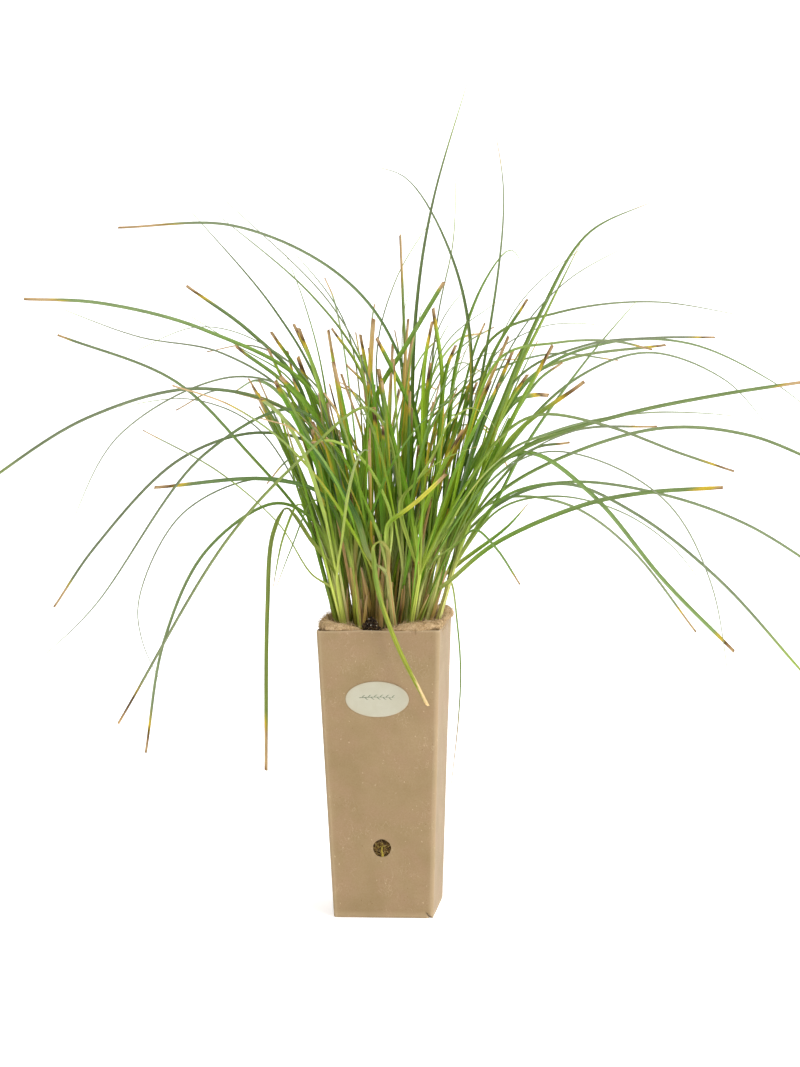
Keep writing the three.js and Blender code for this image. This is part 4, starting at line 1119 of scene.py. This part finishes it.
def card_material():
    paint = Paint("kraft_card")
    place = paint.place()
    cloud = paint.noise(place, 38, 3, 0.55)
    warm = paint.noise(place, 55, 2, 0.5)
    fine = paint.noise(place, 900, 3, 0.7)
    fibre = paint.noise(paint.stretch(place, (1, 1, 0.55)), 210, 2, 0.5, 1.2)
    wisps = paint.ramp(paint.math("ABSOLUTE", paint.math("SUBTRACT", fibre, 0.5)), 0, 0.012, 1, 0)
    chosen = paint.ramp(paint.noise(place, 60, 1), 0.5, 0.62)
    body = paint.mix(paint.ramp(cloud, 0.3, 0.7), linear(148, 126, 89), linear(163, 139, 104))
    body = paint.over(body, paint.ramp(warm, 0.42, 0.66), 0.6, linear(162, 133, 103))
    body = paint.over(body, paint.ramp(fine, 0.38, 0.62), 0.3, linear(140, 115, 80))
    body = paint.over(body, paint.math("MULTIPLY", wisps, chosen), 0.35, linear(214, 192, 156))
    ragged = paint.ragged(place, 700, 1.6 * MM)
    for scale, reach, left_out, colour, strength in CARD_FLECKS:
        bent = paint.stretch(ragged, (1, 1, 0.7), (scale, 0, 0))
        lot = paint.first(paint.cells(bent, scale, "Color"))
        shape = paint.ramp(paint.cells(bent, scale), reach * 0.6, reach, 1, 0)
        fleck = paint.math("MULTIPLY", shape, paint.math("GREATER_THAN", lot, left_out))
        body = paint.over(body, fleck, strength, colour)
    # Paler where the card is worn at its folds, foot and rim; along the folds this is also a
    # painted highlight of their rounded edges.
    body = paint.over(body, paint.attribute("wear", "Fac"), 0.4, linear(214, 192, 158))
    paint.set(Base_Color=body, Roughness=paint.ramp(fine, 0.3, 0.7, 0.78, 0.92),
              Specular_IOR_Level=0.3, Sheen_Weight=0.12)
    paint.bump(paint.math("ADD", paint.math("MULTIPLY", fine, 0.6),
                          paint.math("MULTIPLY", wisps, 0.35)), 0.35, 0.12)
    return paint.material


def label_material():
    paint = Paint("label_paper")
    place = paint.place()
    fine = paint.noise(place, 1300, 3, 0.7)
    cloud = paint.noise(place, 90)
    body = paint.mix(paint.ramp(cloud, 0.3, 0.7), linear(184, 179, 156), linear(190, 186, 166))
    body = paint.over(body, paint.ramp(fine, 0.4, 0.7), 0.2, linear(174, 168, 142))
    body = paint.over(body, paint.attribute("wear", "Fac"), 0.5, linear(184, 166, 134))
    paint.set(Base_Color=body, Roughness=0.62)
    paint.bump(fine, 0.2, 0.05)
    return paint.material


def ink_material():
    paint = Paint("label_ink")
    worn = paint.ramp(paint.noise(paint.place(), 1500), 0.45, 0.75)
    body = paint.mix(worn, linear(112, 122, 100), linear(140, 146, 124))
    paint.set(Base_Color=body, Roughness=0.6)
    return paint.material


def fibre_material(name, roughness):
    paint = Paint(name)
    shade = paint.ramp(paint.noise(paint.place(), 700, 3, 0.6), 0.3, 0.7, 0.72, 1.2)
    body = paint.scaled(paint.attribute("tint", "Color"), shade)
    paint.set(Base_Color=body, Roughness=roughness, Specular_IOR_Level=0.2)
    paint.bump(paint.noise(paint.place(), 1400, 3, 0.7), 0.5, 0.3)
    return paint.material


def coir_material():
    paint = Paint("coir_felt")
    place = paint.place()
    weave = paint.noise(place, 420, 4, 0.7, 1.5)
    cloud = paint.noise(place, 70)
    body = paint.mix(paint.ramp(weave, 0.36, 0.64), linear(152, 122, 82), linear(204, 176, 136))
    body = paint.over(body, paint.ramp(cloud, 0.45, 0.75), 0.5, linear(212, 186, 150))
    paint.set(Base_Color=body, Roughness=0.95, Specular_IOR_Level=0.15)
    paint.bump(weave, 0.9, 0.6)
    return paint.material


def compost_material():
    paint = Paint("compost")
    place = paint.place()
    fine = paint.noise(place, 1600, 3, 0.7)
    body = paint.mix(paint.ramp(fine, 0.35, 0.65), linear(44, 33, 22), linear(92, 70, 46))
    paint.set(Base_Color=body, Roughness=0.9)
    paint.bump(paint.math("SUBTRACT", fine, paint.cells(place, 620)), 1, 0.9)
    return paint.material


# ---- pot
CARD_CORNER = 2.7  # the card's folds are a little sharper than the solid's
CORNER_STEPS = 7
SIDE_SHARES = (0.005, 0.015, *np.linspace(0.04, 0.96, 26), 0.985, 0.995)
FOLD_WIDTH = 0.8
OUTWARD = ((1, 0), (0, 1), (-1, 0), (0, -1))  # of the right, back, left and front face
BACK, FRONT_FACE = 1, 3
FLAT_NEAR_LABEL = 22
GLUED_FLAP = dict(start=-29, end=60, step=0.5, over=1.2)  # down the back
RIM_WAVE = 0.25
# How much paler the folds are painted: worn card, and also a painted highlight on the rounded
# folds.
FOLD_WEAR_AND_HIGHLIGHT = 0.45
WORN_FOOT = dict(most=0.7, height=1.6, over=0.9)
WORN_RIM = dict(most=0.6, depth=0.8, wavy=1.7)
SLIT = dict(half=0.2, reach=3, height=2.4)
WEDGE = dict(corners=((-4.2, 5.0), (-1.4, -1), (1.8, -1)), inwards=14, outwards=3.5)
FLAP_SEAM = dict(inset=2, half=0.35, depth=0.6, own_half=0.3, own_depth=0.45)


def heading(degrees):
    angle = math.radians(degrees)
    return np.array((math.cos(angle), math.sin(angle)))


def square_walk(half, corner):
    """Points round a square with rounded corners, with how near each is to a corner."""
    places = []
    nearness = []

    def corner_point(quarter, degrees):
        middle = heading(45 + 90 * quarter) * math.sqrt(2) * (half - corner)
        return middle + corner * heading(degrees)

    for quarter in range(4):
        for k in range(CORNER_STEPS + 1):
            places.append(corner_point(quarter, 90 * quarter + 90 * k / CORNER_STEPS))
            nearness.append(1)
        start = places[-1]
        end = corner_point(quarter + 1, 90 * quarter + 90)
        for share in SIDE_SHARES:
            places.append(start + (end - start) * share)
            nearness.append(math.exp(-min(share, 1 - share) * 2 * half / FOLD_WIDTH))
    return places, nearness


def waver(x, z, phase):
    """Slow unevenness of a card wall, in millimetres."""
    return (0.16 * math.sin(0.051 * x + 0.033 * z + phase)
            + 0.12 * math.sin(0.09 * z - 0.04 * x + 2.1 * phase)
            + 0.07 * math.sin(0.17 * x + 0.11 * z + 3.7 * phase))


def card_push(face, run, z, edge, inside):
    """How far the card stands out of its plane: less under the label and at the folds."""
    near_label = face == FRONT_FACE and abs(z - LABEL["centre_z"]) < FLAT_NEAR_LABEL
    push = waver(run, z, 1 + face) * (1 - edge) * (0.25 if near_label else 1) - 0.1
    if face == BACK and not inside and GLUED_FLAP["start"] < run < GLUED_FLAP["end"]:
        rise = min(1, (run - GLUED_FLAP["start"]) / GLUED_FLAP["over"])
        push += GLUED_FLAP["step"] * (1 - edge) * rise
    return push


def pot_levels():
    """Heights up the outside and down the inside, and how far inwards the card lies there."""
    top = POT["height"]
    wall = POT["wall"]
    outside = [(0, 0.9), (0.35, 0.3), (1, 0), *((z, 0) for z in np.linspace(2.2, top - 1.6, 62)),
               (top - 0.5, 0.1), (top, 0.42)]
    inside = [(top, wall - 0.35), (top - 0.5, wall),
              *((z, wall) for z in np.linspace(top - 4, POT["floor"], 10))]
    return [(*level, False) for level in outside] + [(*level, True) for level in inside]


def build_pot(material):
    levels = pot_levels()
    points = []
    wear = []
    for z, inset, inside in levels:
        walk, nearness = square_walk(pot_half_at(z) - inset, max(CARD_CORNER - inset, 1))
        at_rim = z > POT["height"] - WORN_RIM["wavy"]
        worn = (WORN_FOOT["most"] * math.exp(-((z - WORN_FOOT["height"]) / WORN_FOOT["over"]) ** 2)
                + WORN_RIM["most"] * (z > POT["height"] - WORN_RIM["depth"]))
        for (x, y), edge in zip(walk, nearness):
            face = int(((math.degrees(math.atan2(y, x)) + 45) % 360) // 90)
            run = x if face in (BACK, FRONT_FACE) else y
            push = card_push(face, run, z, edge, inside)
            lift = RIM_WAVE * math.sin(0.13 * run + face) if at_rim else 0
            out = OUTWARD[face]
            points.append((x + out[0] * push, y + out[1] * push, z + lift))
            # Paler at the folds, as worn card and as a painted highlight, and worn at the foot and
            # rim.
            wear.append(min(1, edge * FOLD_WEAR_AND_HIGHLIGHT + worn))
    faces = lofted_faces(len(levels), len(walk))
    pot = worn_object("pot_card", points, faces, wear, material)
    for cutter in (drain_cutter(), *foot_cutters()):
        apply_modifier(pot, "BOOLEAN", operation="DIFFERENCE", solver="EXACT", object=cutter)
        bpy.data.objects.remove(cutter)
    smooth(pot.data, 38)
    fix_piece(pot, "cardboard_pot")


def cutter_object(work):
    bmesh.ops.scale(work, vec=(MM, MM, MM), verts=work.verts)
    mesh = bpy.data.meshes.new("cutter")
    work.to_mesh(mesh)
    work.free()
    return linked_object("cutter", mesh)


def drain_cutter():
    """A slightly ragged rod through the front and the back."""
    work = bmesh.new()
    bmesh.ops.create_cone(work, cap_ends=True, segments=56, radius1=DRAIN["radius"],
                          radius2=DRAIN["radius"], depth=4 * POT["top_half"])
    for vertex in work.verts:
        x, y, z = vertex.co
        a = math.atan2(y, x)
        ragged = 1 + 0.012 * math.sin(5 * a) + 0.01 * math.sin(11 * a + 1)
        vertex.co = (x * ragged, -z, y * ragged + DRAIN["height"])
    return cutter_object(work)


def box_cutter(low, high, degrees=0):
    c, s = heading(degrees)
    work = bmesh.new()
    bmesh.ops.create_cube(work, size=1)
    for vertex in work.verts:
        x, y, z = (low[k] + (high[k] - low[k]) * (vertex.co[k] + 0.5) for k in range(3))
        vertex.co = (x * c - y * s, x * s + y * c, z)
    return cutter_object(work)


def wedge_cutter(reach, degrees):
    c, s = heading(degrees)
    work = bmesh.new()
    ends = [[work.verts.new((out * c - aside * s, out * s + aside * c, z))
             for aside, z in WEDGE["corners"]]
            for out in (reach - WEDGE["inwards"], reach + WEDGE["outwards"])]
    work.faces.new(ends[0][::-1])
    work.faces.new(ends[1])
    for k in range(3):
        n = (k + 1) % 3
        work.faces.new((ends[0][k], ends[0][n], ends[1][n], ends[1][k]))
    bmesh.ops.recalc_face_normals(work, faces=work.faces)
    return cutter_object(work)


def foot_cutters():
    """Three corners open by a hair at the foot, the front right one by a wedge, and the
    seams of the folded flaps run under it."""
    reach = math.sqrt(2) * (POT["foot_half"] - CARD_CORNER) + CARD_CORNER
    slit = SLIT["half"]
    seam = POT["foot_half"] - FLAP_SEAM["inset"]
    half, own_half = FLAP_SEAM["half"], FLAP_SEAM["own_half"]
    diagonals = [45 + 90 * quarter for quarter in range(4)]
    cutters = [box_cutter((reach - SLIT["reach"], -slit, -1),
                          (reach + SLIT["reach"], slit, SLIT["height"]), turn)
               for turn in diagonals[:3]]
    cutters.append(wedge_cutter(reach, diagonals[3]))
    cutters.append(box_cutter((-seam, -half, -1), (seam, half, FLAP_SEAM["depth"])))
    cutters += [box_cutter((8, -own_half, -1),
                           (math.sqrt(2) * seam - 5, own_half, FLAP_SEAM["own_depth"]), turn)
                for turn in diagonals]
    return cutters


# ---- label
LABEL_POINTS = 96
# Ovals of the sheet: their share of its size, millimetres out of the card, and wear.
LABEL_OVALS = ((1, 0.05, 1), (1, 0.42, 1), (0.99, 0.5, 0.8), (0.95, 0.52, 0.25),
               (0.8, 0.52, 0), (0.5, 0.52, 0), (0.2, 0.52, 0))
SPRIG = dict(length=26, up=1.6, steps=12, stem=0.4, leaf=0.55, reach=2.6, rise=1.7,
             low=0.5, high=0.56)


def on_label(across, up, out):
    """A point on the label's sheet, from its centre."""
    lean = math.atan((POT["top_half"] - POT["foot_half"]) / POT["height"])
    return np.array((LABEL["centre_x"] + across,
                     -pot_half_at(LABEL["centre_z"]) - up * math.sin(lean) - out * math.cos(lean),
                     LABEL["centre_z"] + up * math.cos(lean) - out * math.sin(lean)))


def build_label(material):
    points = []
    wear = []
    for size, out, worn in LABEL_OVALS:
        for k in range(LABEL_POINTS):
            a = 2 * math.pi * k / LABEL_POINTS
            points.append(on_label(size * LABEL["half_width"] * math.cos(a),
                                   size * LABEL["half_height"] * math.sin(a), out))
            wear.append(worn)
    faces = lofted_faces(len(LABEL_OVALS), LABEL_POINTS)
    label = worn_object("label_sheet", points, faces, wear, material)
    smooth(label.data, 35)
    fix_piece(label, "label")


def add_stroke(skin, points, width):
    """A printed stroke on the label, which narrows towards its end."""
    line = np.array(points, float)
    along = unit(np.gradient(line, axis=0))
    sides = np.stack((-along[:, 1], along[:, 0]), axis=1)
    low, high = SPRIG["low"], SPRIG["high"]
    corners = ((-1, low), (1, low), (1, high), (-1, high))
    rings = []
    for k, (place, aside) in enumerate(zip(line, sides)):
        part = k / (len(line) - 1)
        half = width * (0.25 + math.sin(math.pi * (0.5 + part * 0.5))) / 2
        rings.append([on_label(*(place + aside * side * half), out) for side, out in corners])
    skin.loft(rings, TONES["deep"], (0, 0, 0))


def build_sprig(material):
    """A small printed sprig of grass, in place of words."""
    skin = Skin()
    steps = SPRIG["steps"]
    stem = [(SPRIG["length"] * (k / steps - 0.5),
             SPRIG["up"] - 0.4 + 0.5 * math.sin(k / steps * math.pi)) for k in range(steps + 1)]
    add_stroke(skin, stem, SPRIG["stem"])
    for k in range(1, steps):
        x, y = stem[k]
        rise = SPRIG["rise"] if k % 2 else -SPRIG["rise"]
        reach = SPRIG["reach"] - 0.1 * abs(k - steps / 2)
        leaf = [(x + reach * t, y + rise * (1 - (1 - t) ** 2)) for t in (0, 0.25, 0.5, 0.75, 1)]
        add_stroke(skin, leaf, SPRIG["leaf"])
    skin.build("label_sprig", material)


# ---- coir mat, compost and roots
def light_tones(*colours):
    return [np.array(linear(*colour)) for colour in colours]


COIR_TONES = light_tones((204, 176, 136), (190, 160, 118), (158, 128, 88), (218, 194, 158))
SOIL_TONES = light_tones((46, 34, 22), (66, 50, 32), (34, 26, 18), (96, 76, 50))
ROOT_TONES = light_tones((112, 86, 36), (88, 62, 24), (156, 130, 80))
MAIN_ROOT, GRIT = light_tones((164, 144, 60), (206, 196, 176))
MAT = dict(voxel=0.9, rumples=((0.55, 0.5), (0.35, 1.3), (0.2, 3.1)), lift=0.75, sag=0.75,
           rim_top=216)
FIBRES = 2600
SOIL_OVAL = (41, 37)
HEAP = dict(left=-26, right=18, front=-44, back=-26, middle=-6, width=17, high=7, ramp=9)
LUMP = dict(u=-10, v=-37, wide=7.5, deep=4.5, high=14)
CRUMBS = dict(loose=1500, heap=2600, lump=620)
ROOTS = dict(radius=1.15, arm_radius=0.5, reach=7.5, threads=150, thread=5)


def read(items, field, size=3):
    """One field of all vertices or faces, as an array."""
    values = np.empty(len(items) * size)
    items.foreach_get(field, values)
    return values.reshape(-1, size)


def rumple(points, scale, seed):
    """Smooth unevenness from a few crossed waves, between about -1 and 1."""
    random = np.random.default_rng(seed)
    total = np.zeros(len(points))
    for _ in range(7):
        direction = unit(random.normal(size=3))
        pace = scale * random.uniform(0.6, 1.9)
        total += np.sin(points @ direction * pace + random.uniform(0, 2 * math.pi))
    return total / 3.2


def build_mat(material):
    """The mat as a finer, rumpled copy, which hangs a little over the rim."""
    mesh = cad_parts["coir_mat"].data.copy()
    mesh.name = "coir_felt"
    mesh.materials.clear()
    mat = linked_object("coir_felt", mesh)
    apply_modifier(mat, "REMESH", mode="VOXEL", voxel_size=MAT["voxel"] * MM)
    apply_modifier(mat, "SMOOTH", factor=0.6, iterations=2)
    places = read(mat.data.vertices, "co")
    mm = places / MM
    lift = sum(share * rumple(mm, pace, 5 + k) for k, (share, pace) in enumerate(MAT["rumples"]))
    on_top = np.clip((mm[:, 2] - SOIL_TOP - 1) / 3, 0, 1)
    places += read(mat.data.vertices, "normal") * (lift * on_top * MAT["lift"] * MM)[:, None]
    reach = np.abs(mm[:, :2]).max(axis=1)
    over_rim = (np.clip((reach - POT["top_half"] + 3) / 2, 0, 1)
                * np.clip((MAT["rim_top"] - mm[:, 2]) / 3, 0, 1))
    places[:, 2] -= over_rim * MAT["sag"] * MM
    mat.data.vertices.foreach_set("co", places.ravel())
    mat.data.shade_smooth()
    mat.data.materials.append(material)
    return fix_piece(mat, "coir_mat")


def add_thread(skin, points, radius, tint, number):
    """A thin three-sided thread along points."""
    line = np.asarray(points, float)
    along, sides = carried_sides(line, np.array((0.31, 0.52, 0.79)))
    lifts = np.cross(along, sides)
    angles = np.arange(3) * 2 * math.pi / 3
    thin = radius * np.linspace(1, 0.35, len(line))
    rings = (line[:, None] + sides[:, None] * (np.cos(angles)[None, :, None] * thin[:, None, None])
             + lifts[:, None] * (np.sin(angles)[None, :, None] * thin[:, None, None]))
    skin.loft(rings, tint, (0, 0, number))


def mat_samples(mat, count, random):
    """Points and normals spread evenly over the mat's faces, with few on its underside."""
    faces = mat.data.polygons
    centres = read(faces, "center") / MM
    normals = read(faces, "normal")
    weights = read(faces, "area", 1)[:, 0] * ((centres[:, 2] > SOIL_TOP + 2)
                                              * np.where(normals[:, 2] > -0.2, 1.0, 0.05))
    chosen = random.choice(len(weights), size=count, p=weights / weights.sum())
    return centres[chosen], normals[chosen]


def build_fibres(mat, material):
    """Loose coir fibres that curl over the mat."""
    random = np.random.default_rng(41)
    skin = Skin()
    for number, (start, normal) in enumerate(zip(*mat_samples(mat, FIBRES, random))):
        along = unit(np.cross(normal, random.normal(size=3)))
        curl = unit(np.cross(normal, along)) * random.uniform(-1, 1)
        length = random.uniform(2.5, 8)
        rise = random.uniform(0.05, 0.5) if random.random() < 0.8 else random.uniform(0.5, 1.6)
        line = np.array([start + along * length * t + curl * length * 0.5 * t * t
                         + normal * (rise * math.sin(math.pi * min(1, t * 1.1)) - 0.15)
                         for t in (0, 0.2, 0.4, 0.6, 0.8, 1)])
        reach = POT["top_half"] + 4.2
        line[:, :2] = np.clip(line[:, :2], -reach, reach)
        add_thread(skin, line, random.uniform(0.07, 0.15),
                   one_of(COIR_TONES, random) * random.uniform(0.8, 1.15), number)
    skin.build("coir_fibres", material, sharp=180)


def crumb_shape():
    work = bmesh.new()
    bmesh.ops.create_icosphere(work, subdivisions=1, radius=1)
    points = np.array([vertex.co[:] for vertex in work.verts])
    faces = [tuple(vertex.index for vertex in face.verts) for face in work.faces]
    work.free()
    return points, faces


CRUMB_POINTS, CRUMB_FACES = crumb_shape()


def add_crumb(skin, place, size, tint, random):
    shape = CRUMB_POINTS * random.uniform(0.6, 1.25, (len(CRUMB_POINTS), 1))
    shape = shape * random.uniform(0.6, 1.2, 3) * size
    skin.add(place + shape, CRUMB_FACES, tint, (0, 0, 0))


def add_loose_crumbs(skin, random):
    """Crumbs that lie on top of the root ball."""
    for _ in range(CRUMBS["loose"]):
        u = random.uniform(-40, 40)
        v = random.uniform(-36, 36)
        if in_oval(u, v, *SOIL_OVAL):
            place = clump_point(u, v, SOIL_TOP + random.uniform(-0.4, 0.9))
            add_crumb(skin, place, random.uniform(0.5, 1.7), one_of(SOIL_TONES, random), random)


def add_heaped_crumbs(skin, random):
    """Crumbs heaped in the gap of the mat, with some pale grit."""
    inside_pot = pot_half_at(POT["height"]) - POT["wall"] - 0.8
    for _ in range(CRUMBS["heap"]):
        u = random.uniform(HEAP["left"], HEAP["right"])
        v = random.uniform(HEAP["front"], HEAP["back"])
        place = clump_point(u, v, 0)
        if max(abs(place[0]), abs(place[1])) > inside_pot:
            continue
        heap = HEAP["high"] * math.exp(-((u - HEAP["middle"]) / HEAP["width"]) ** 4)
        place[2] = SOIL_TOP + (heap * min(1, (HEAP["back"] + 2 - v) / HEAP["ramp"])
                               * random.uniform(0, 1) ** 0.4)
        if random.random() < 0.05:
            add_crumb(skin, place, random.uniform(0.4, 0.8), GRIT, random)
        else:
            add_crumb(skin, place, random.uniform(0.6, 1.5), one_of(SOIL_TONES, random), random)


def add_lump(skin, random):
    """A lump of compost that stands in the gap."""
    for _ in range(CRUMBS["lump"]):
        x, y, z = random.normal(size=3)
        shell = random.uniform(0.55, 1) / math.sqrt(x * x + y * y + z * z)
        place = clump_point(LUMP["u"] + LUMP["wide"] * x * shell,
                            LUMP["v"] + LUMP["deep"] * y * shell,
                            SOIL_TOP + 2 + LUMP["high"] * abs(z) * shell)
        if random.random() < 0.2:
            size = random.uniform(0.35, 0.7)
            add_crumb(skin, place, size, GRIT * random.uniform(0.5, 1), random)
        else:
            add_crumb(skin, place, random.uniform(0.6, 1.3), one_of(SOIL_TONES, random), random)


def build_crumbs(material):
    random = np.random.default_rng(77)
    skin = Skin()
    add_loose_crumbs(skin, random)
    add_heaped_crumbs(skin, random)
    add_lump(skin, random)
    skin.build("compost_crumbs", material, sharp=50)


def build_drain_roots(material):
    """Roots pressed against the inside of the drain holes."""
    random = np.random.default_rng(19)
    skin = Skin()
    middle = DRAIN["height"]
    wall = pot_half_at(middle) - POT["wall"]
    main = [(0.4 * math.sin(k * 0.9), -ROOTS["reach"] + 11 * k / 10) for k in range(11)]
    arms = [[(0.2 + 6.8 * t, 1.6 - 2.2 * math.sin(3 * t) + 2.4 * t) for t in np.linspace(0, 1, 7)],
            [(-0.2 - 5 * t, 1.6 - 2.4 * math.sin(3 * t) + 2.8 * t) for t in np.linspace(0, 1, 7)]]
    for face in (-1, 1):
        for line, radius in zip((main, *arms), (ROOTS["radius"], *[ROOTS["arm_radius"]] * 2)):
            points = [(face * -x, face * (wall - 0.1), middle + z) for x, z in line]
            add_thread(skin, points, radius, MAIN_ROOT, 1)
        for k in range(ROOTS["threads"]):
            x, z = random.uniform(-ROOTS["reach"], ROOTS["reach"], 2)
            turn = random.uniform(0, 2 * math.pi)
            bend = random.uniform(-1.2, 1.2)
            line = []
            for t in np.linspace(0, 1, 6):
                a = turn + bend * t
                line.append((x + ROOTS["thread"] * t * math.cos(a),
                             face * (wall - random.uniform(-0.2, 0.5)),
                             middle + z + ROOTS["thread"] * t * math.sin(a)))
            add_thread(skin, line, random.uniform(0.25, 0.6),
                       one_of(ROOT_TONES, random) * random.uniform(0.6, 1.15), k)
    skin.build("drain_roots", material, sharp=180)


def paint_root_ball(material):
    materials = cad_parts["root_ball"].data.materials
    materials.clear()
    materials.append(material)


# ---- the plant
def build_shoots(shoots, leaves, green, dry):
    random = np.random.default_rng(SEED)
    counts = {"tiller": 0, "dry_tiller": 0}
    for leaf in leaves:
        dress_leaf(leaf, random)
    for shoot in shoots:
        kind = "dry_tiller" if shoot["dry"] else "tiller"
        counts[kind] += 1
        base_tones = ("husk", "tan", "bark") if shoot["dry"] else ("sheath", "stalk", "sheath")
        shoot["base_tone"] = one_of(base_tones, random)
        if shoot["number"] == FRONT["shoot"]:
            shoot["base_tone"] = "sheath"
        skin = Skin()
        number = shoot["number"]
        add_core(skin, shoot, number, random)
        own = sorted((leaf for leaf in leaves if leaf["shoot"] is shoot),
                     key=lambda leaf: leaf["line"][0, 2])
        for k, leaf in enumerate(own):
            add_leaf(skin, leaf, k / max(len(own) - 1, 1), number + 0.37 * k, random)
        add_stalks(skin, shoot, number + 0.5, random)
        add_young(skin, shoot, number + 0.8, random)
        material, slot_name = (dry, "dry_leaf") if shoot["dry"] else (green, "green_leaf")
        node = f"{kind}_{counts[kind]:02d}"
        skin.build(f"{node}_blades", material, node=node)


# ---- camera, light and ground
CAMERA = dict(azimuth=6.33, distance=2.2, side=0.0119, height=0.498, pitch=5.72, roll=0.77,
              lens=102, sensor=36)
SKY = 0.51
# Lights: name, place, what they look at, size and power.
LIGHTS = (
    ("key", (1.5, -1.6, 1.9), (0, 0, 0.3), 1.2, 37),
    ("right", (2.1, 0.2, 0.9), (0, 0, 0.25), 1.4, 14),
    ("top", (0.1, -0.2, 2.4), (0, 0, 0.3), 2, 17),
    ("backdrop", (0, 1.5, 2.6), (0, 3.6, 0.9), 1.6, 26),
)
# The floor and backdrop, in metres: back from the plant and up.
GROUND_LINE = ((-6, 0), (2.2, 0), (2.8, 0.1), (3.2, 0.45), (3.35, 1), (3.4, 5))
GROUND_HALF = 7


def aim_camera():
    data = bpy.data.cameras.new("camera")
    data.sensor_fit = "VERTICAL"
    data.sensor_height = CAMERA["sensor"]
    data.lens = CAMERA["lens"]
    camera = linked_object("camera", data)
    turn = math.radians(CAMERA["azimuth"])
    right = np.array((math.cos(turn), math.sin(turn), 0))
    forward = np.array((-math.sin(turn), math.cos(turn), 0))
    camera.location = (-CAMERA["distance"] * forward + CAMERA["side"] * right
                       + np.array((0, 0, CAMERA["height"])))
    aim = (Matrix.Rotation(turn, 3, "Z")
           @ Matrix.Rotation(math.radians(90 - CAMERA["pitch"]), 3, "X")
           @ Matrix.Rotation(-math.radians(CAMERA["roll"]), 3, "Z"))
    camera.rotation_euler = aim.to_euler()
    bpy.context.scene.camera = camera


def light_scene():
    scene = bpy.context.scene
    scene.view_settings.view_transform = "Standard"
    scene.view_settings.look = "None"
    scene.world = bpy.data.worlds.new("studio")
    scene.world.use_nodes = True
    background = scene.world.node_tree.nodes["Background"]
    background.inputs["Color"].default_value = (1, 1, 1, 1)
    background.inputs["Strength"].default_value = SKY
    for name, place, target, size, power in LIGHTS:
        data = bpy.data.lights.new(name, "AREA")
        data.shape = "DISK"
        data.size = size
        data.energy = power
        light = linked_object(name, data)
        light.location = place
        direction = Vector(np.subtract(target, place))
        light.rotation_euler = direction.to_track_quat("-Z", "Y").to_euler()


def build_ground():
    """A pale floor that runs up into a pale backdrop."""
    points = [(x, y, z) for y, z in GROUND_LINE for x in (-GROUND_HALF, GROUND_HALF)]
    faces = [(2 * k, 2 * k + 1, 2 * k + 3, 2 * k + 2) for k in range(len(GROUND_LINE) - 1)]
    mesh = bpy.data.meshes.new("ground")
    mesh.from_pydata(points, [], faces)
    mesh.shade_smooth()
    paint = Paint("ground_white")
    paint.set(Base_Color=(0.97, 0.97, 0.97, 1), Roughness=0.9, Emission_Color=(1, 1, 1, 1),
              Emission_Strength=0.36)
    mesh.materials.append(paint.material)
    linked_object("ground", mesh)


# ---- all of it
aim_camera()
light_scene()
build_ground()
shoots = place_shoots()
build_shoots(shoots, lay_leaves(shoots), leaf_material("leaf_green", 0.42, 0.24),
             leaf_material("leaf_dry", 0.7, 0.12))
build_pot(card_material())
build_label(label_material())
build_sprig(ink_material())
felt = build_mat(coir_material())
build_fibres(felt, fibre_material("coir_fibre", 0.9))
build_crumbs(fibre_material("compost_crumb", 0.95))
build_drain_roots(fibre_material("root_fibre", 0.8))
paint_root_ball(compost_material())
